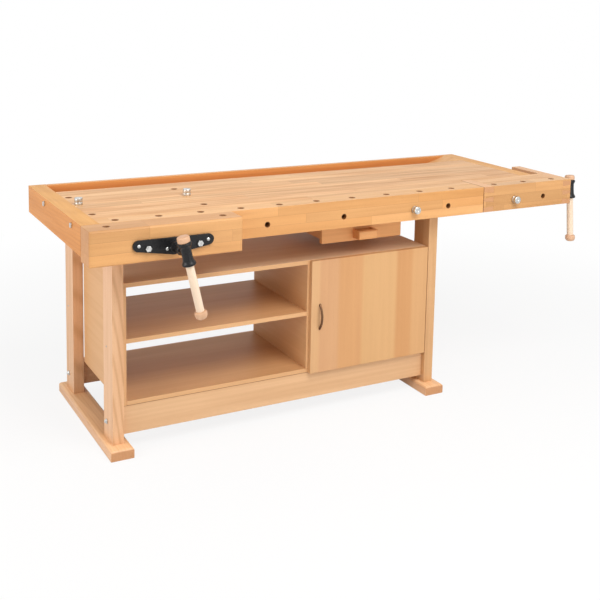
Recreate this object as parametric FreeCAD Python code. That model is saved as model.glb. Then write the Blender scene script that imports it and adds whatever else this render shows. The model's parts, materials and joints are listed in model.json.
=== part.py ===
import FreeCAD, Part
import math
import os

os.makedirs("parts", exist_ok=True)

# Joiner's workbench with a front vise, a tail vise, a cabinet and a drawer.
# Bench coordinates, in millimetres: X from the left end to the right, Y from the worktop's front face
# to the back, Z up from the floor. Every solid is moved at export so that the origin lies on the floor,
# under the middle of the whole bench.

# ---------------------------------------------------------------- driving dimensions
HEIGHT = 860.0            # floor to worktop
LENGTH = 2062.0           # over the end caps, without the tail vise
DEPTH = 736.0             # front face to back face of the top
APRON = 106.0             # height of the end caps, front beam and back rail
SLAB = 52.0               # slab thickness
CAP = 64.0                # end cap thickness
BEAM_W = 75.0             # front beam width
RAIL_W = 22.0             # back rail width
TRAY_W = 147.0            # tool tray width
TRAY_T = 8.0              # tray board thickness
RAMP_L = 190.0            # length of the sweep-out ramp

RUN_FIT = 0.05            # radial clearance of every running fit
CLEAR = 0.4               # flat gap between a moving piece and its neighbour
DOG_R = 9.5               # bench dog shank radius
DOG_HEAD_R = 15.0
DOG_HEAD_H = 26.0
DOG_Y = 36.0              # line of the front row
DOG_X0 = 129.2            # first hole from the left end
DOG_PITCH = 156.4
DOG_LAST = 70.0           # least distance from the last beam hole to the notch
CROSS_X = (83.0, 501.5)   # the two cross rows
CROSS_Y0 = 148.0
CROSS_MID = 170.0         # from the front hole of a cross row to its middle hole
CROSS_BACK = 304.0        # and to its back hole
SIDE_UP = 43.5            # holes in the front face, above the underside of the beam
SIDE_DEPTH = 50.0
SIDE_BACK = (986.6, 663.4, 342.0, 177.2)     # their distances from the notch
TAIL_SIDE = (161.0, 318.4)                   # and those in the tail vise

TRESTLE_LEFT = 147.5      # left end to the middle of the left trestle
TRESTLE_RIGHT = 582.5     # right end to the middle of the right trestle
LEG_T = 41.0              # leg thickness along X
LEG_W = 104.0             # leg width along Y
LEG_LIP = 7.0             # front legs reach this far under the beam
LEG_REAR = 61.0           # rear legs stand this far inside the back
FOOT_W = 86.0
FOOT_H = 38.0
FOOT_TOE = 49.0           # foot in front of the front leg
FOOT_HEEL = 41.0          # foot behind the rear leg
TENON_T = 14.0
TENON_L = 24.0
TENON_SHOULDER = 16.0
STRETCH_UP = 16.0         # stretcher above the foot
STRETCH_H = 95.0
STRETCH_T = 40.0
STRETCH_SET = 48.0        # stretcher behind the front edge of its leg
BOLT_R = 5.0
BOLT_GRIP = 45.0          # length of a stretcher bolt inside the stretcher
CAP_BOLT_DOWN = 22.0      # end cap bolts below the worktop
CAP_BOLT_IN = 30.0        # and their length inside the slab
CAP_BOLT_FRONT = 109.0    # from the front face
CAP_BOLT_BACK = 255.0     # from the back
CAP_BOLT_NOTCH = 70.0     # behind the notch

BOARD = 16.5              # cabinet board thickness
CAB_SET = 20.0            # cabinet behind the front edge of the legs
CAB_REAR = 9.0            # cabinet in front of the rear legs
CAB_SPACE = 137.0         # open height between the cabinet and the top
CAB_RISE = 18.0           # cabinet above the stretchers
CUPBOARD_W = 550.5        # cupboard with its divider and side
SHELF_DOWN = 204.0        # shelf below the cabinet top
BACK_T = 6.0
PLINTH_UP = 24.0          # plinth above the feet
PLINTH_SET = 1.0          # plinth behind the edge of the bottom board
DOOR_T = 18.5
DOOR_GAP = 0.5
DOOR_LAP = 7.0            # door over the divider
HINGE_IN = 90.0           # hinge cups from the ends of the door
CUP_R = 17.5
CUP_DEPTH = 11.5
CUP_EDGE = 3.0
HANDLE_IN = 38.0          # door handle from the edge of the door
HANDLE_L = 106.0
HANDLE_OUT = 24.0
HANDLE_W = 10.0

DRAWER_GAP = 105.0        # drawer to the right trestle
DRAWER_W = 367.0
DRAWER_SET = 45.0         # drawer behind the beam
DRAWER_H = 87.0
DRAWER_REAR = 47.0        # drawer in front of the tray
DRAWER_INSET = 27.0
DRAWER_FRONT_T = 20.0
DRAWER_SIDE_T = 12.0
DRAWER_THIN = 6.0
CLEAT = 12.0
HANG_WEB = 11.0
PULL_W = 87.0
PULL_OUT = 50.0
PULL_UP = 12.0
PULL_H = 35.0

JAW_L = 546.0             # front vise jaw
JAW_T = 98.0
JAW_DROP = 16.0           # jaw below the beam
JAW_DOG = 44.0            # jaw holes in front of the beam
JAW_SHIFT = 9.0           # jaw holes to the left of the cross rows
FV_GAP = 29.0             # left guide rod to the left trestle
FV_TILT = 13.7            # lean of the handle, degrees
FV_TRAVEL = 180.0
FV_HUB = 120.0            # jaw face to hub centre
ROD_R = 10.0
ROD_OFF = 92.0            # guide rods each side of the screw
SLEEVE_L = 70.0
SLEEVE_WALL = 6.0
PLATE_T = 8.0
EAR_X = 124.5             # plate ears each side of the screw
EAR_R = 19.5
EAR_UP = 10.0
BELLY_R = 30.0
BOSS_WALL = 6.0
BOSS_OUT = 20.0           # plate thickness with its boss
HEX_FLATS = 19.0
HEX_H = 9.0

SCREW_R = 14.0
NUT_WALL = 5.5
NUT_L = 40.0
SCREW_PAST = 15.0         # screw and rods past their nut and sleeves when the vise is open

TV_NOTCH = 386.0          # length of the notch for the tail vise
TV_OUT = 86.0             # end block beyond the right end cap
TV_D = 156.0              # notch depth
TV_GAP = 0.8              # closed gap at the jaw
TV_BOARD = 58.0           # front board thickness
TV_HEAD = 52.0            # jaw block thickness
TV_ARM = 44.0             # end block thickness
TV_ARM_D = 336.0          # end block depth
TV_COVER = 24.0
TV_DOG = 79.0             # first dog hole from the notch
TV_SCREW_IN = 33.0        # screw axis behind the front board
TV_TRAVEL = 150.0
TV_TILT = 4.9             # lean of its handle, lower end towards the front
TV_HUB = 83.0             # end block face to hub centre
TV_ROD_IN = 36.0          # guide rod from the back of the end block
TV_ROD_R = 12.0
TV_ROD_WALL = 12.0
GUIDE_L = 40.0
GUIDE_X = 60.0            # guide block from the notch
FLANGE_R = 34.0
FLANGE_T = 8.0
FLANGE_OUT = 14.0
PIN_TAPER = 3.0           # half the widening of a pin over its length
PIN_MID = 16.0            # height of the middle pins
PIN_LOW = 20.0            # height of the lower pins
PIN_TOP = 24.0            # the left upper pin reaches the top
PIN_RIGHT = (27.0, 7.0)   # the right upper pin, measured down from the top

HUB_HALF = 40.0           # half length of the handle sleeve
HUB_WALL = 5.5            # sleeve at its waist
HUB_FLARE = 4.0           # and how much its ends flare
HUB_END = 9.0             # straight length of each end
BAR_R = 14.0
BAR_UP = 55.0             # handle bar above and below the hub centre
BAR_DOWN = 219.0
KNOB_WALL = 7.5
KNOB_TOP_H = 22.0
KNOB_LOW_Z = 205.0        # distance down to the lower knob
KNOB_LOW_H = 28.0
COLLAR = 6.0              # shoulder and retaining ring above the screw
BOLT_HEAD = 6.0

# ---------------------------------------------------------------- derived positions
UNDER = HEIGHT - APRON                 # underside of the apron pieces
SLAB_Z = HEIGHT - SLAB
CAP_IN = LENGTH - CAP                  # inner face of the right end cap
TRAY_Y1 = DEPTH - RAIL_W
TRAY_Y = TRAY_Y1 - TRAY_W
SIDE_Z = UNDER + SIDE_UP
HOLE_R = DOG_R + RUN_FIT

TRESTLE_X = (TRESTLE_LEFT, LENGTH - TRESTLE_RIGHT)
LEG_Y = (BEAM_W - LEG_LIP, DEPTH - LEG_REAR - LEG_W)
FOOT_Y0 = LEG_Y[0] - FOOT_TOE
FOOT_Y1 = LEG_Y[1] + LEG_W + FOOT_HEEL
STRETCH_Z0 = FOOT_H + STRETCH_UP
STRETCH_Y = (LEG_Y[0] + STRETCH_SET, LEG_Y[1] + STRETCH_SET)

CAB_Y0 = LEG_Y[0] + CAB_SET
CAB_Y1 = LEG_Y[1] - CAB_REAR
CAB_TOP = UNDER - CAB_SPACE
CAB_BOT = STRETCH_Z0 + STRETCH_H + CAB_RISE
SHELF_Z = CAB_TOP - BOARD - SHELF_DOWN
PLINTH_Z0 = FOOT_H + PLINTH_UP

NUT_R = SCREW_R + NUT_WALL
COLLAR_R = SCREW_R + COLLAR
FV_X = TRESTLE_LEFT + LEG_T / 2 + FV_GAP + ROD_OFF
FV_Z = SLAB_Z - NUT_R - 1.5
FV_FACE = -JAW_T
FV_HUB_Y = FV_FACE - FV_HUB
FV_BORE = SCREW_R + 2
JAW_BOT = UNDER - JAW_DROP
JAW_X = [x - JAW_SHIFT for x in CROSS_X]

TV_X0 = LENGTH - TV_NOTCH
TV_X1 = LENGTH + TV_OUT
TV_HUB_X = TV_X1 + TV_HUB
TONGUE_TOP = HEIGHT - TV_COVER - 4     # tongue of the right end cap, under the tail vise cover
TV_Y = TV_BOARD + TV_SCREW_IN
TV_Z = (UNDER + TONGUE_TOP) / 2
TV_ROD_Y = TV_ARM_D - TV_ROD_IN
TV_ROD_Z = SLAB_Z - TV_ROD_R - TV_ROD_WALL
GUIDE_X0 = TV_X0 + GUIDE_X

HUB_WAIST = BAR_R + HUB_WALL
HUB_R = HUB_WAIST + HUB_FLARE
KNOB_R = BAR_R + KNOB_WALL

X_LOW = -BOLT_HEAD
X_HIGH = TV_HUB_X + HUB_R
Y_LOW = FV_HUB_Y - HUB_R
Y_HIGH = DEPTH
ORIGIN = FreeCAD.Vector((X_LOW + X_HIGH) / 2, (Y_LOW + Y_HIGH) / 2, 0)

V = FreeCAD.Vector
AX = {"x": V(1, 0, 0), "y": V(0, 1, 0), "z": V(0, 0, 1)}


# ---------------------------------------------------------------- small helpers
def box(x0, x1, y0, y1, z0, z1):
    return Part.makeBox(x1 - x0, y1 - y0, z1 - z0, V(x0, y0, z0))


def span(x0, x1, y0, y1, z0, z1):
    """A box between two X values in either order."""
    return box(min(x0, x1), max(x0, x1), y0, y1, z0, z1)


def rod(axis, start, length, r):
    """A round bar from the point start along +axis."""
    return Part.makeCylinder(r, length, V(*start), AX[axis])


def hexagon(axis, start, height, across_flats):
    """A hexagon head standing on the point start along +axis."""
    corner = across_flats / math.sqrt(3)
    pts = [V(corner * math.cos(k * math.pi / 3), corner * math.sin(k * math.pi / 3), 0) for k in range(7)]
    head = Part.Face(Part.makePolygon(pts)).extrude(V(0, 0, height))
    head.Placement = FreeCAD.Placement(V(*start), FreeCAD.Rotation(V(0, 0, 1), AX[axis]))
    return head


def cap_nut(start, r, sign):
    """A cap nut on an X face: a short hexagon with a tapered cap, growing away from the wood."""
    base = hexagon("x", V(*start) + V(min(sign, 0) * 3, 0, 0), 3, 2 * r - 1)
    cap = Part.makeCone(r - 2, r - 5, 6, V(*start) + V(sign * 3, 0, 0), AX["x"] * sign)
    return base.fuse(cap)


def outline(points, y0, y1):
    """A prism with its outline in the X-Z plane."""
    pts = [V(x, y0, z) for x, z in points]
    return Part.Face(Part.makePolygon(pts + [pts[0]])).extrude(V(0, y1 - y0, 0))


def turned(profile):
    """A solid turned about Z from a list of (radius, height)."""
    pts = [V(r, 0, z) for r, z in profile]
    return Part.Face(Part.makePolygon(pts + [pts[0]])).revolve(V(0, 0, 0), V(0, 0, 1), 360)


def fuse(shapes):
    return shapes[0].multiFuse(shapes[1:]).removeSplitter()


def group(shapes):
    return Part.makeCompound(shapes)


def eased(shape, size, test):
    """Chamfers the straight edges that pass the test."""
    edges = [e for e in shape.Edges if e.Curve.TypeId == "Part::GeomLine" and test(e)]
    return shape.makeChamfer(size, edges)


nodes = {}
dog_count = int((TV_X0 - DOG_LAST - DOG_X0) // DOG_PITCH) + 1
dog_x = [DOG_X0 + DOG_PITCH * i for i in range(dog_count)]
tail_dog_x = [TV_X0 + TV_DOG + DOG_PITCH * i for i in range(3)]
cross_y = [CROSS_Y0, CROSS_Y0 + CROSS_MID, CROSS_Y0 + CROSS_BACK]
side_x = [TV_X0 - back for back in SIDE_BACK]
tail_side_x = [TV_X0 + on for on in TAIL_SIDE]

# ---------------------------------------------------------------- top
slab = box(CAP, CAP_IN, BEAM_W, TRAY_Y, SLAB_Z, HEIGHT)
slab = slab.cut(box(TV_X0, CAP_IN, BEAM_W, TV_D, SLAB_Z, HEIGHT))
holes = [rod("z", (x, y, SLAB_Z), SLAB, HOLE_R) for x in CROSS_X for y in cross_y]
slab = slab.cut(group(holes))

beam = box(CAP, TV_X0, 0, BEAM_W, UNDER, HEIGHT)
blind = FV_Z + FV_BORE + 9             # the hole over the vise screw stops above its bore
cuts = []
for x in dog_x:
    low = blind if abs(x - FV_X) < FV_BORE + HOLE_R else UNDER
    cuts.append(rod("z", (x, DOG_Y, low), HEIGHT - low, HOLE_R))
cuts += [rod("y", (x, 0, SIDE_Z), SIDE_DEPTH, HOLE_R) for x in side_x]
cuts.append(rod("y", (FV_X, 0, FV_Z), BEAM_W, FV_BORE))
cuts += [rod("y", (FV_X + s * ROD_OFF, 0, FV_Z), BEAM_W, ROD_R + 1) for s in (-1, 1)]
for cut in cuts:
    beam = beam.cut(cut)

left_cap = box(0, CAP, 0, DEPTH, UNDER, HEIGHT)
back_rail = box(CAP, CAP_IN, TRAY_Y1, DEPTH, UNDER, HEIGHT)
tray = box(CAP, CAP_IN, TRAY_Y, TRAY_Y1, SLAB_Z, SLAB_Z + TRAY_T)
ramp_x = CAP_IN - RAMP_L
tray_z = SLAB_Z + TRAY_T
sweep = V(ramp_x + RAMP_L * 0.55, TRAY_Y, tray_z + (HEIGHT - tray_z) * 0.39)
bow = Part.Arc(V(ramp_x, TRAY_Y, tray_z + 1), sweep, V(CAP_IN, TRAY_Y, HEIGHT)).toShape()
sides = Part.makePolygon([V(CAP_IN, TRAY_Y, HEIGHT), V(CAP_IN, TRAY_Y, tray_z), V(ramp_x, TRAY_Y, tray_z),
                          V(ramp_x, TRAY_Y, tray_z + 1)])
ramp = Part.Face(Part.Wire([bow] + sides.Edges)).extrude(V(0, TRAY_W, 0))

# right end cap: full height behind the notch, and a low tongue in front that holds the tail vise nut
right_cap = box(CAP_IN, LENGTH, TV_D, DEPTH, UNDER, HEIGHT)
right_cap = right_cap.fuse(box(CAP_IN, LENGTH, TV_BOARD + 2, TV_D, UNDER, TONGUE_TOP)).removeSplitter()
right_cap = right_cap.cut(rod("x", (CAP_IN, TV_Y, TV_Z), CAP, NUT_R))
right_cap = right_cap.cut(rod("x", (CAP_IN, TV_ROD_Y, TV_ROD_Z), CAP, TV_ROD_R + RUN_FIT))

# ---------------------------------------------------------------- trestles and stretchers
trestle = {}
for side, cx in zip(("left", "right"), TRESTLE_X):
    x0, x1 = cx - LEG_T / 2, cx + LEG_T / 2
    foot = box(cx - FOOT_W / 2, cx + FOOT_W / 2, FOOT_Y0, FOOT_Y1, 0, FOOT_H)
    foot = eased(foot, 6, lambda e: all(v.Z > FOOT_H - 1 for v in e.Vertexes))
    rail = box(x0, x1, BEAM_W, LEG_Y[1] + LEG_W, UNDER, SLAB_Z)
    for where, y0 in zip(("front", "rear"), LEG_Y):
        t0, t1 = cx - TENON_T / 2, cx + TENON_T / 2
        s0, s1 = y0 + TENON_SHOULDER, y0 + LEG_W - TENON_SHOULDER
        body = box(x0, x1, y0, y0 + LEG_W, FOOT_H, UNDER)
        tenon = box(t0, t1, s0, s1, FOOT_H - TENON_L, UNDER + TENON_L)
        leg = body.fuse(tenon).removeSplitter()
        foot = foot.cut(leg)
        rail = rail.cut(leg)
        trestle[side + "_" + where + "_leg"] = leg
    trestle[side + "_foot"] = foot
    trestle[side + "_top_rail"] = rail

STRETCH_X = (TRESTLE_X[0] + LEG_T / 2, TRESTLE_X[1] - LEG_T / 2)
STRETCH_Z1 = STRETCH_Z0 + STRETCH_H
bolt_z = STRETCH_Z0 + STRETCH_H / 2
stretchers = {}
bolts = []
for where, y0 in zip(("front", "rear"), STRETCH_Y):
    bar = box(STRETCH_X[0], STRETCH_X[1], y0, y0 + STRETCH_T, STRETCH_Z0, STRETCH_Z1)
    yc = y0 + STRETCH_T / 2
    for side, end, sign in zip(("left", "right"), STRETCH_X, (-1, 1)):
        outer = end + sign * LEG_T
        inner = end - sign * BOLT_GRIP
        shank = rod("x", (min(outer, inner), yc, bolt_z), abs(outer - inner), BOLT_R)
        leg = side + "_" + where + "_leg"
        trestle[leg] = trestle[leg].cut(shank)
        bar = bar.cut(shank)
        bolts.append(shank.fuse(cap_nut((outer, yc, bolt_z), 2 * BOLT_R, sign)).removeSplitter())
    stretchers[where + "_stretcher"] = bar

# end cap bolts run through the caps into the slab
cap_bolt_z = HEIGHT - CAP_BOLT_DOWN
cap_bolts = []
for y in (CAP_BOLT_FRONT, DEPTH - CAP_BOLT_BACK):
    shank = rod("x", (0, y, cap_bolt_z), CAP + CAP_BOLT_IN, 4)
    cap_bolts.append(shank.fuse(hexagon("x", (-BOLT_HEAD, y, cap_bolt_z), BOLT_HEAD, 17)).removeSplitter())
for y in (TV_D + CAP_BOLT_NOTCH, DEPTH - CAP_BOLT_BACK):
    shank = rod("x", (CAP_IN - CAP_BOLT_IN, y, cap_bolt_z), CAP + CAP_BOLT_IN, 4)
    cap_bolts.append(shank.fuse(hexagon("x", (LENGTH, y, cap_bolt_z), BOLT_HEAD, 17)).removeSplitter())
left_cap = left_cap.cut(group(cap_bolts[:2]))
right_cap = right_cap.cut(group(cap_bolts[2:]))
slab = slab.cut(group(cap_bolts))

# ---------------------------------------------------------------- cabinet
cab_x0 = STRETCH_X[0]
cab_x1 = STRETCH_X[1]
in_x0 = cab_x0 + BOARD
in_x1 = cab_x1 - BOARD
divider_x = cab_x1 - CUPBOARD_W
cab_in_top = CAB_TOP - BOARD
cab_top = box(cab_x0, cab_x1, CAB_Y0, CAB_Y1, cab_in_top, CAB_TOP)
cab_left = box(cab_x0, in_x0, CAB_Y0, CAB_Y1, CAB_BOT, cab_in_top)
cab_right = box(in_x1, cab_x1, CAB_Y0, CAB_Y1, CAB_BOT, cab_in_top)
cab_bottom = box(in_x0, in_x1, CAB_Y0, CAB_Y1, CAB_BOT, CAB_BOT + BOARD)
plinth_y = CAB_Y0 + PLINTH_SET
plinth = box(cab_x0, cab_x1, plinth_y, plinth_y + BOARD, PLINTH_Z0, CAB_BOT)
divider = box(divider_x, divider_x + BOARD, CAB_Y0, CAB_Y1, CAB_BOT + BOARD, cab_in_top)
shelf = box(in_x0, divider_x, CAB_Y0, CAB_Y1, SHELF_Z, SHELF_Z + BOARD)
back = box(divider_x + BOARD / 2, cab_x1, CAB_Y1, CAB_Y1 + BACK_T, CAB_BOT, CAB_TOP)

# overlay door with two concealed hinges: their cups sit in the door
DOOR_Y = CAB_Y0 - DOOR_GAP - DOOR_T
door_x0 = divider_x + BOARD - DOOR_LAP
door_x1 = cab_x1 - 2
door_z1 = CAB_TOP - 1
door = box(door_x0, door_x1, DOOR_Y, DOOR_Y + DOOR_T, CAB_BOT, door_z1)
cup_x = door_x1 - CUP_EDGE - CUP_R
cup_y = DOOR_Y + DOOR_T - CUP_DEPTH
hinges = []
for z in (CAB_BOT + HINGE_IN, door_z1 - HINGE_IN):
    cup = rod("y", (cup_x, cup_y, z), CUP_DEPTH, CUP_R)
    door = door.cut(cup)
    hinges.append(cup)

# door handle: a slim crescent that stands on two short feet
handle_x = door_x0 + HANDLE_IN
handle_z = (CAB_BOT + door_z1) / 2
z0, z1 = handle_z - HANDLE_L / 2, handle_z + HANDLE_L / 2
x0 = handle_x - HANDLE_W / 2
tip = DOOR_Y - 5
outer_bow = Part.Arc(V(x0, tip, z0), V(x0, DOOR_Y - HANDLE_OUT, handle_z), V(x0, tip, z1)).toShape()
crown = V(x0, DOOR_Y - HANDLE_OUT + 8, handle_z)
inner_bow = Part.Arc(V(x0, tip, z1 - 9), crown, V(x0, tip, z0 + 9)).toShape()
ends = [Part.LineSegment(V(x0, tip, z1), V(x0, tip, z1 - 9)).toShape()]
ends.append(Part.LineSegment(V(x0, tip, z0 + 9), V(x0, tip, z0)).toShape())
crescent = Part.Face(Part.Wire([outer_bow, ends[0], inner_bow, ends[1]])).extrude(V(HANDLE_W, 0, 0))
feet = [box(x0, x0 + HANDLE_W, tip, DOOR_Y, z, z + 9) for z in (z0, z1 - 9)]
door_handle = fuse([crescent] + feet)

# ---------------------------------------------------------------- drawer hung under the slab
dx1 = cab_x1 - DRAWER_GAP
dx0 = dx1 - DRAWER_W
drawer_y = BEAM_W + DRAWER_SET
drawer_z1 = UNDER - 2
drawer_z0 = drawer_z1 - DRAWER_H
drawer_y1 = TRAY_Y - DRAWER_REAR
front = box(dx0, dx1, drawer_y, drawer_y + DRAWER_FRONT_T, drawer_z0, drawer_z1)
mid = dx0 + DRAWER_W / 2
pull_x = (mid - PULL_W / 2, mid + PULL_W / 2)
pull_z = (drawer_z0 + PULL_UP, drawer_z0 + PULL_UP + PULL_H)
pull = box(pull_x[0], pull_x[1], drawer_y - PULL_OUT, drawer_y, pull_z[0], pull_z[1])
pull = pull.cut(box(pull_x[0] + 8, pull_x[1] - 8, drawer_y - 24, drawer_y, pull_z[1] - 20, pull_z[1]))
pull = eased(pull, 4, lambda e: all(v.Y < drawer_y - PULL_OUT + 1 for v in e.Vertexes))
side_y0 = drawer_y + DRAWER_FRONT_T
side_z0 = drawer_z0 + 3
side_z1 = drawer_z1 - 3
cleat_z = side_z1 - CLEAT - 1
lip_z = cleat_z - CLEAT - 2
hang_y = (side_y0 + 2, TRAY_Y - 7)
drawer_sides = []
hangers = []
for s, outer in ((-1, dx0 + DRAWER_INSET), (1, dx1 - DRAWER_INSET)):
    cleat = outer + s * CLEAT
    web0 = cleat + s
    web1 = web0 + s * HANG_WEB
    drawer_sides.append(span(outer, outer - s * DRAWER_SIDE_T, side_y0, drawer_y1, side_z0, side_z1))
    drawer_sides.append(span(outer, cleat, side_y0, drawer_y1, cleat_z, cleat_z + CLEAT))
    web = span(web0, web1, hang_y[0], hang_y[1], lip_z, SLAB_Z)
    lip = span(outer + s, web0, hang_y[0], hang_y[1], lip_z, cleat_z)
    hangers.append(web.fuse(lip).removeSplitter())
in0 = dx0 + DRAWER_INSET + DRAWER_SIDE_T
in1 = dx1 - DRAWER_INSET - DRAWER_SIDE_T
back_y = drawer_y1 - DRAWER_SIDE_T
drawer_bottom = box(in0, in1, side_y0, back_y, side_z0 + 4, side_z0 + 4 + DRAWER_THIN)
drawer_back = box(in0, in1, back_y, drawer_y1, side_z0, side_z1 - 8)


# ---------------------------------------------------------------- parts that both vises share
def handle_set():
    """Hub, its bar hole, bar and knobs about the hub centre, with the handle along Z."""
    waist = HUB_HALF - HUB_END - HUB_FLARE * 2
    end = HUB_HALF - HUB_END
    profile = [(0, -HUB_HALF), (HUB_R, -HUB_HALF), (HUB_R, -end), (HUB_WAIST, -waist), (HUB_WAIST, waist)]
    profile += [(HUB_R, end), (HUB_R, HUB_HALF), (0, HUB_HALF)]
    hub = turned(profile)
    hole = rod("z", (0, 0, -HUB_HALF), 2 * HUB_HALF, BAR_R + RUN_FIT)
    bar = rod("z", (0, 0, -BAR_DOWN), BAR_DOWN + BAR_UP, BAR_R)
    top = turned([(0, 0), (KNOB_R, 0), (KNOB_R, KNOB_TOP_H - 5), (KNOB_R - 5, KNOB_TOP_H), (0, KNOB_TOP_H)])
    top.translate(V(0, 0, HUB_HALF))
    low_end = -KNOB_LOW_H
    low = turned([(0, 0), (KNOB_R, 0), (KNOB_R, low_end + 8), (KNOB_R - 6, low_end), (0, low_end)])
    low.translate(V(0, 0, -KNOB_LOW_Z))
    return hub, hole, bar, [top.cut(bar), low.cut(bar)]


def vise_screw(hub_off, face_gap, ring_at, tip):
    """Screw along -X from the hub centre, with its thrust shoulder and its retaining ring."""
    shoulder = rod("x", (-hub_off + face_gap, 0, 0), 12, COLLAR_R)
    shaft = rod("x", (-tip, 0, 0), tip - hub_off + face_gap, SCREW_R)
    ring = rod("x", (ring_at, 0, 0), 9, COLLAR_R)
    neck_end = rod("x", (-hub_off + face_gap, 0, 0), hub_off - face_gap - BAR_R - 1, SCREW_R - 3)
    return fuse([shaft, shoulder, ring, neck_end])


def placed(shapes, place):
    out = []
    for shape in shapes:
        moved = shape.copy()
        moved.Placement = place.multiply(moved.Placement)
        out.append(moved)
    return out


hub0, hub_hole, bar0, knobs0 = handle_set()


def vise_drive(place, hub_off, face_gap, ring_at, tip):
    """Screw, hub, bar and knobs of one vise at its place. The hub is one casting with its neck socket."""
    screw = vise_screw(hub_off, face_gap, ring_at, tip)
    socket = rod("x", (-HUB_R - 22, 0, 0), HUB_R + 22, SCREW_R + 1)
    hub = fuse([hub0, socket]).cut(hub_hole)
    hub = hub.cut(screw)
    return placed([screw, hub, bar0, group(knobs0)], place)


# ---------------------------------------------------------------- front vise
# local +X of the drive points out of the bench, -Y; the lower end of the handle leans to the right
turn_out = FreeCAD.Rotation(AX["z"], -90)
lean = FreeCAD.Rotation(AX["y"], -FV_TILT)
fv_place = FreeCAD.Placement(V(FV_X, FV_HUB_Y, FV_Z), lean.multiply(turn_out))
fv_tip = BEAM_W + NUT_L + FV_TRAVEL + SCREW_PAST - FV_HUB_Y
fv_drive = vise_drive(fv_place, FV_HUB, BOSS_OUT + 0.3, -FV_HUB - JAW_T + 2, fv_tip)
fv_screw, fv_hub, fv_bar, fv_knobs = fv_drive

jaw = box(0, JAW_L, FV_FACE, -CLEAR, JAW_BOT, HEIGHT)
jaw = eased(jaw, 5, lambda e: all(v.Y < FV_FACE + 1 for v in e.Vertexes))
for x in JAW_X:
    jaw = jaw.cut(rod("z", (x, -JAW_DOG, JAW_BOT), HEIGHT - JAW_BOT, HOLE_R))
jaw = jaw.cut(rod("y", (FV_X, FV_FACE, FV_Z), JAW_T, SCREW_R + 1))
jaw = jaw.cut(rod("y", (FV_X, -12, FV_Z), 12, COLLAR_R + 2))

nut_y = BEAM_W
rod_x = [FV_X + s * ROD_OFF for s in (-1, 1)]
rod_y0 = FV_FACE + 6
rod_end = nut_y + SLEEVE_L + FV_TRAVEL + SCREW_PAST
rods = [rod("y", (x, rod_y0, FV_Z), rod_end - rod_y0, ROD_R) for x in rod_x]
for guide in rods:
    jaw = jaw.cut(guide)

# black plate on the jaw face: straight top between two round ears, and a wide belly round the screw
plate_y = FV_FACE - PLATE_T
ear_z = FV_Z + EAR_UP
ears = [rod("y", (FV_X + s * EAR_X, plate_y, ear_z), PLATE_T, EAR_R) for s in (-1, 1)]
reach = math.hypot(EAR_X, EAR_UP)
swing = math.acos((BELLY_R - EAR_R) / reach) + math.atan2(EAR_UP, EAR_X)
nx, nz = math.cos(swing), -math.sin(swing)
ear_foot = (EAR_X + EAR_R * nx, ear_z + EAR_R * nz)
belly_foot = (BELLY_R * nx, FV_Z + BELLY_R * nz)
top_z = ear_z + EAR_R
rim = [(FV_X - EAR_X, top_z), (FV_X - ear_foot[0], ear_foot[1]), (FV_X - belly_foot[0], belly_foot[1])]
rim += [(FV_X + belly_foot[0], belly_foot[1]), (FV_X + ear_foot[0], ear_foot[1]), (FV_X + EAR_X, top_z)]
web = outline(rim, plate_y, FV_FACE)
belly = rod("y", (FV_X, plate_y, FV_Z), PLATE_T, BELLY_R)
boss = rod("y", (FV_X, FV_FACE - BOSS_OUT, FV_Z), BOSS_OUT, SCREW_R + BOSS_WALL)
fv_plate = fuse([web, belly, boss] + ears)
fv_plate = fv_plate.cut(rod("y", (FV_X, FV_FACE - BOSS_OUT, FV_Z), BOSS_OUT, SCREW_R + RUN_FIT))

# two hexagon bolts hold the plate and the ends of the guide rods
fv_bolts = []
for x in rod_x:
    head = hexagon("y", (x, plate_y - HEX_H, FV_Z), HEX_H, HEX_FLATS)
    stud = rod("y", (x, plate_y, FV_Z), PLATE_T + 24, BOLT_R)
    fv_bolts.append(head.fuse(stud).removeSplitter())
fv_plate = fv_plate.cut(group(fv_bolts))
jaw = jaw.cut(group(fv_bolts))
rods = [guide.cut(group(fv_bolts)) for guide in rods]

# hidden plate behind the beam with the nut and two guide sleeves
sleeve_r = ROD_R + SLEEVE_WALL
nut_half = ROD_OFF + sleeve_r + 4
nut_plate = box(FV_X - nut_half, FV_X + nut_half, nut_y, nut_y + 8, UNDER + 2, SLAB_Z - 0.5)
sleeves = [rod("y", (x, nut_y, FV_Z), SLEEVE_L, sleeve_r) for x in rod_x]
fv_nut = fuse([nut_plate, rod("y", (FV_X, nut_y, FV_Z), NUT_L, NUT_R)] + sleeves)
fv_nut = fv_nut.cut(rod("y", (FV_X, nut_y, FV_Z), NUT_L, SCREW_R + RUN_FIT))
for x in rod_x:
    fv_nut = fv_nut.cut(rod("y", (x, nut_y, FV_Z), SLEEVE_L, ROD_R + RUN_FIT))


# ---------------------------------------------------------------- tail vise
# two corner joints: the pins of the blocks pass through the front board between its tails
def pins(upper, corner, inside):
    """Upper, middle and lower dovetail pins, narrow at the corner of the vise and wider inside the joint."""
    low = (UNDER, UNDER + PIN_LOW)
    centre = (upper[0] + low[1]) / 2
    middle = (centre - PIN_MID / 2, centre + PIN_MID / 2)
    out = []
    for z0, z1 in (upper, middle, low):
        a = 0 if z0 <= UNDER else PIN_TAPER
        b = 0 if z1 >= HEIGHT else PIN_TAPER
        shape = [(corner, z0 + a), (inside, z0 - a), (inside, z1 + b), (corner, z1 - b)]
        out.append(outline(shape, 0, TV_BOARD))
    return out


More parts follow.
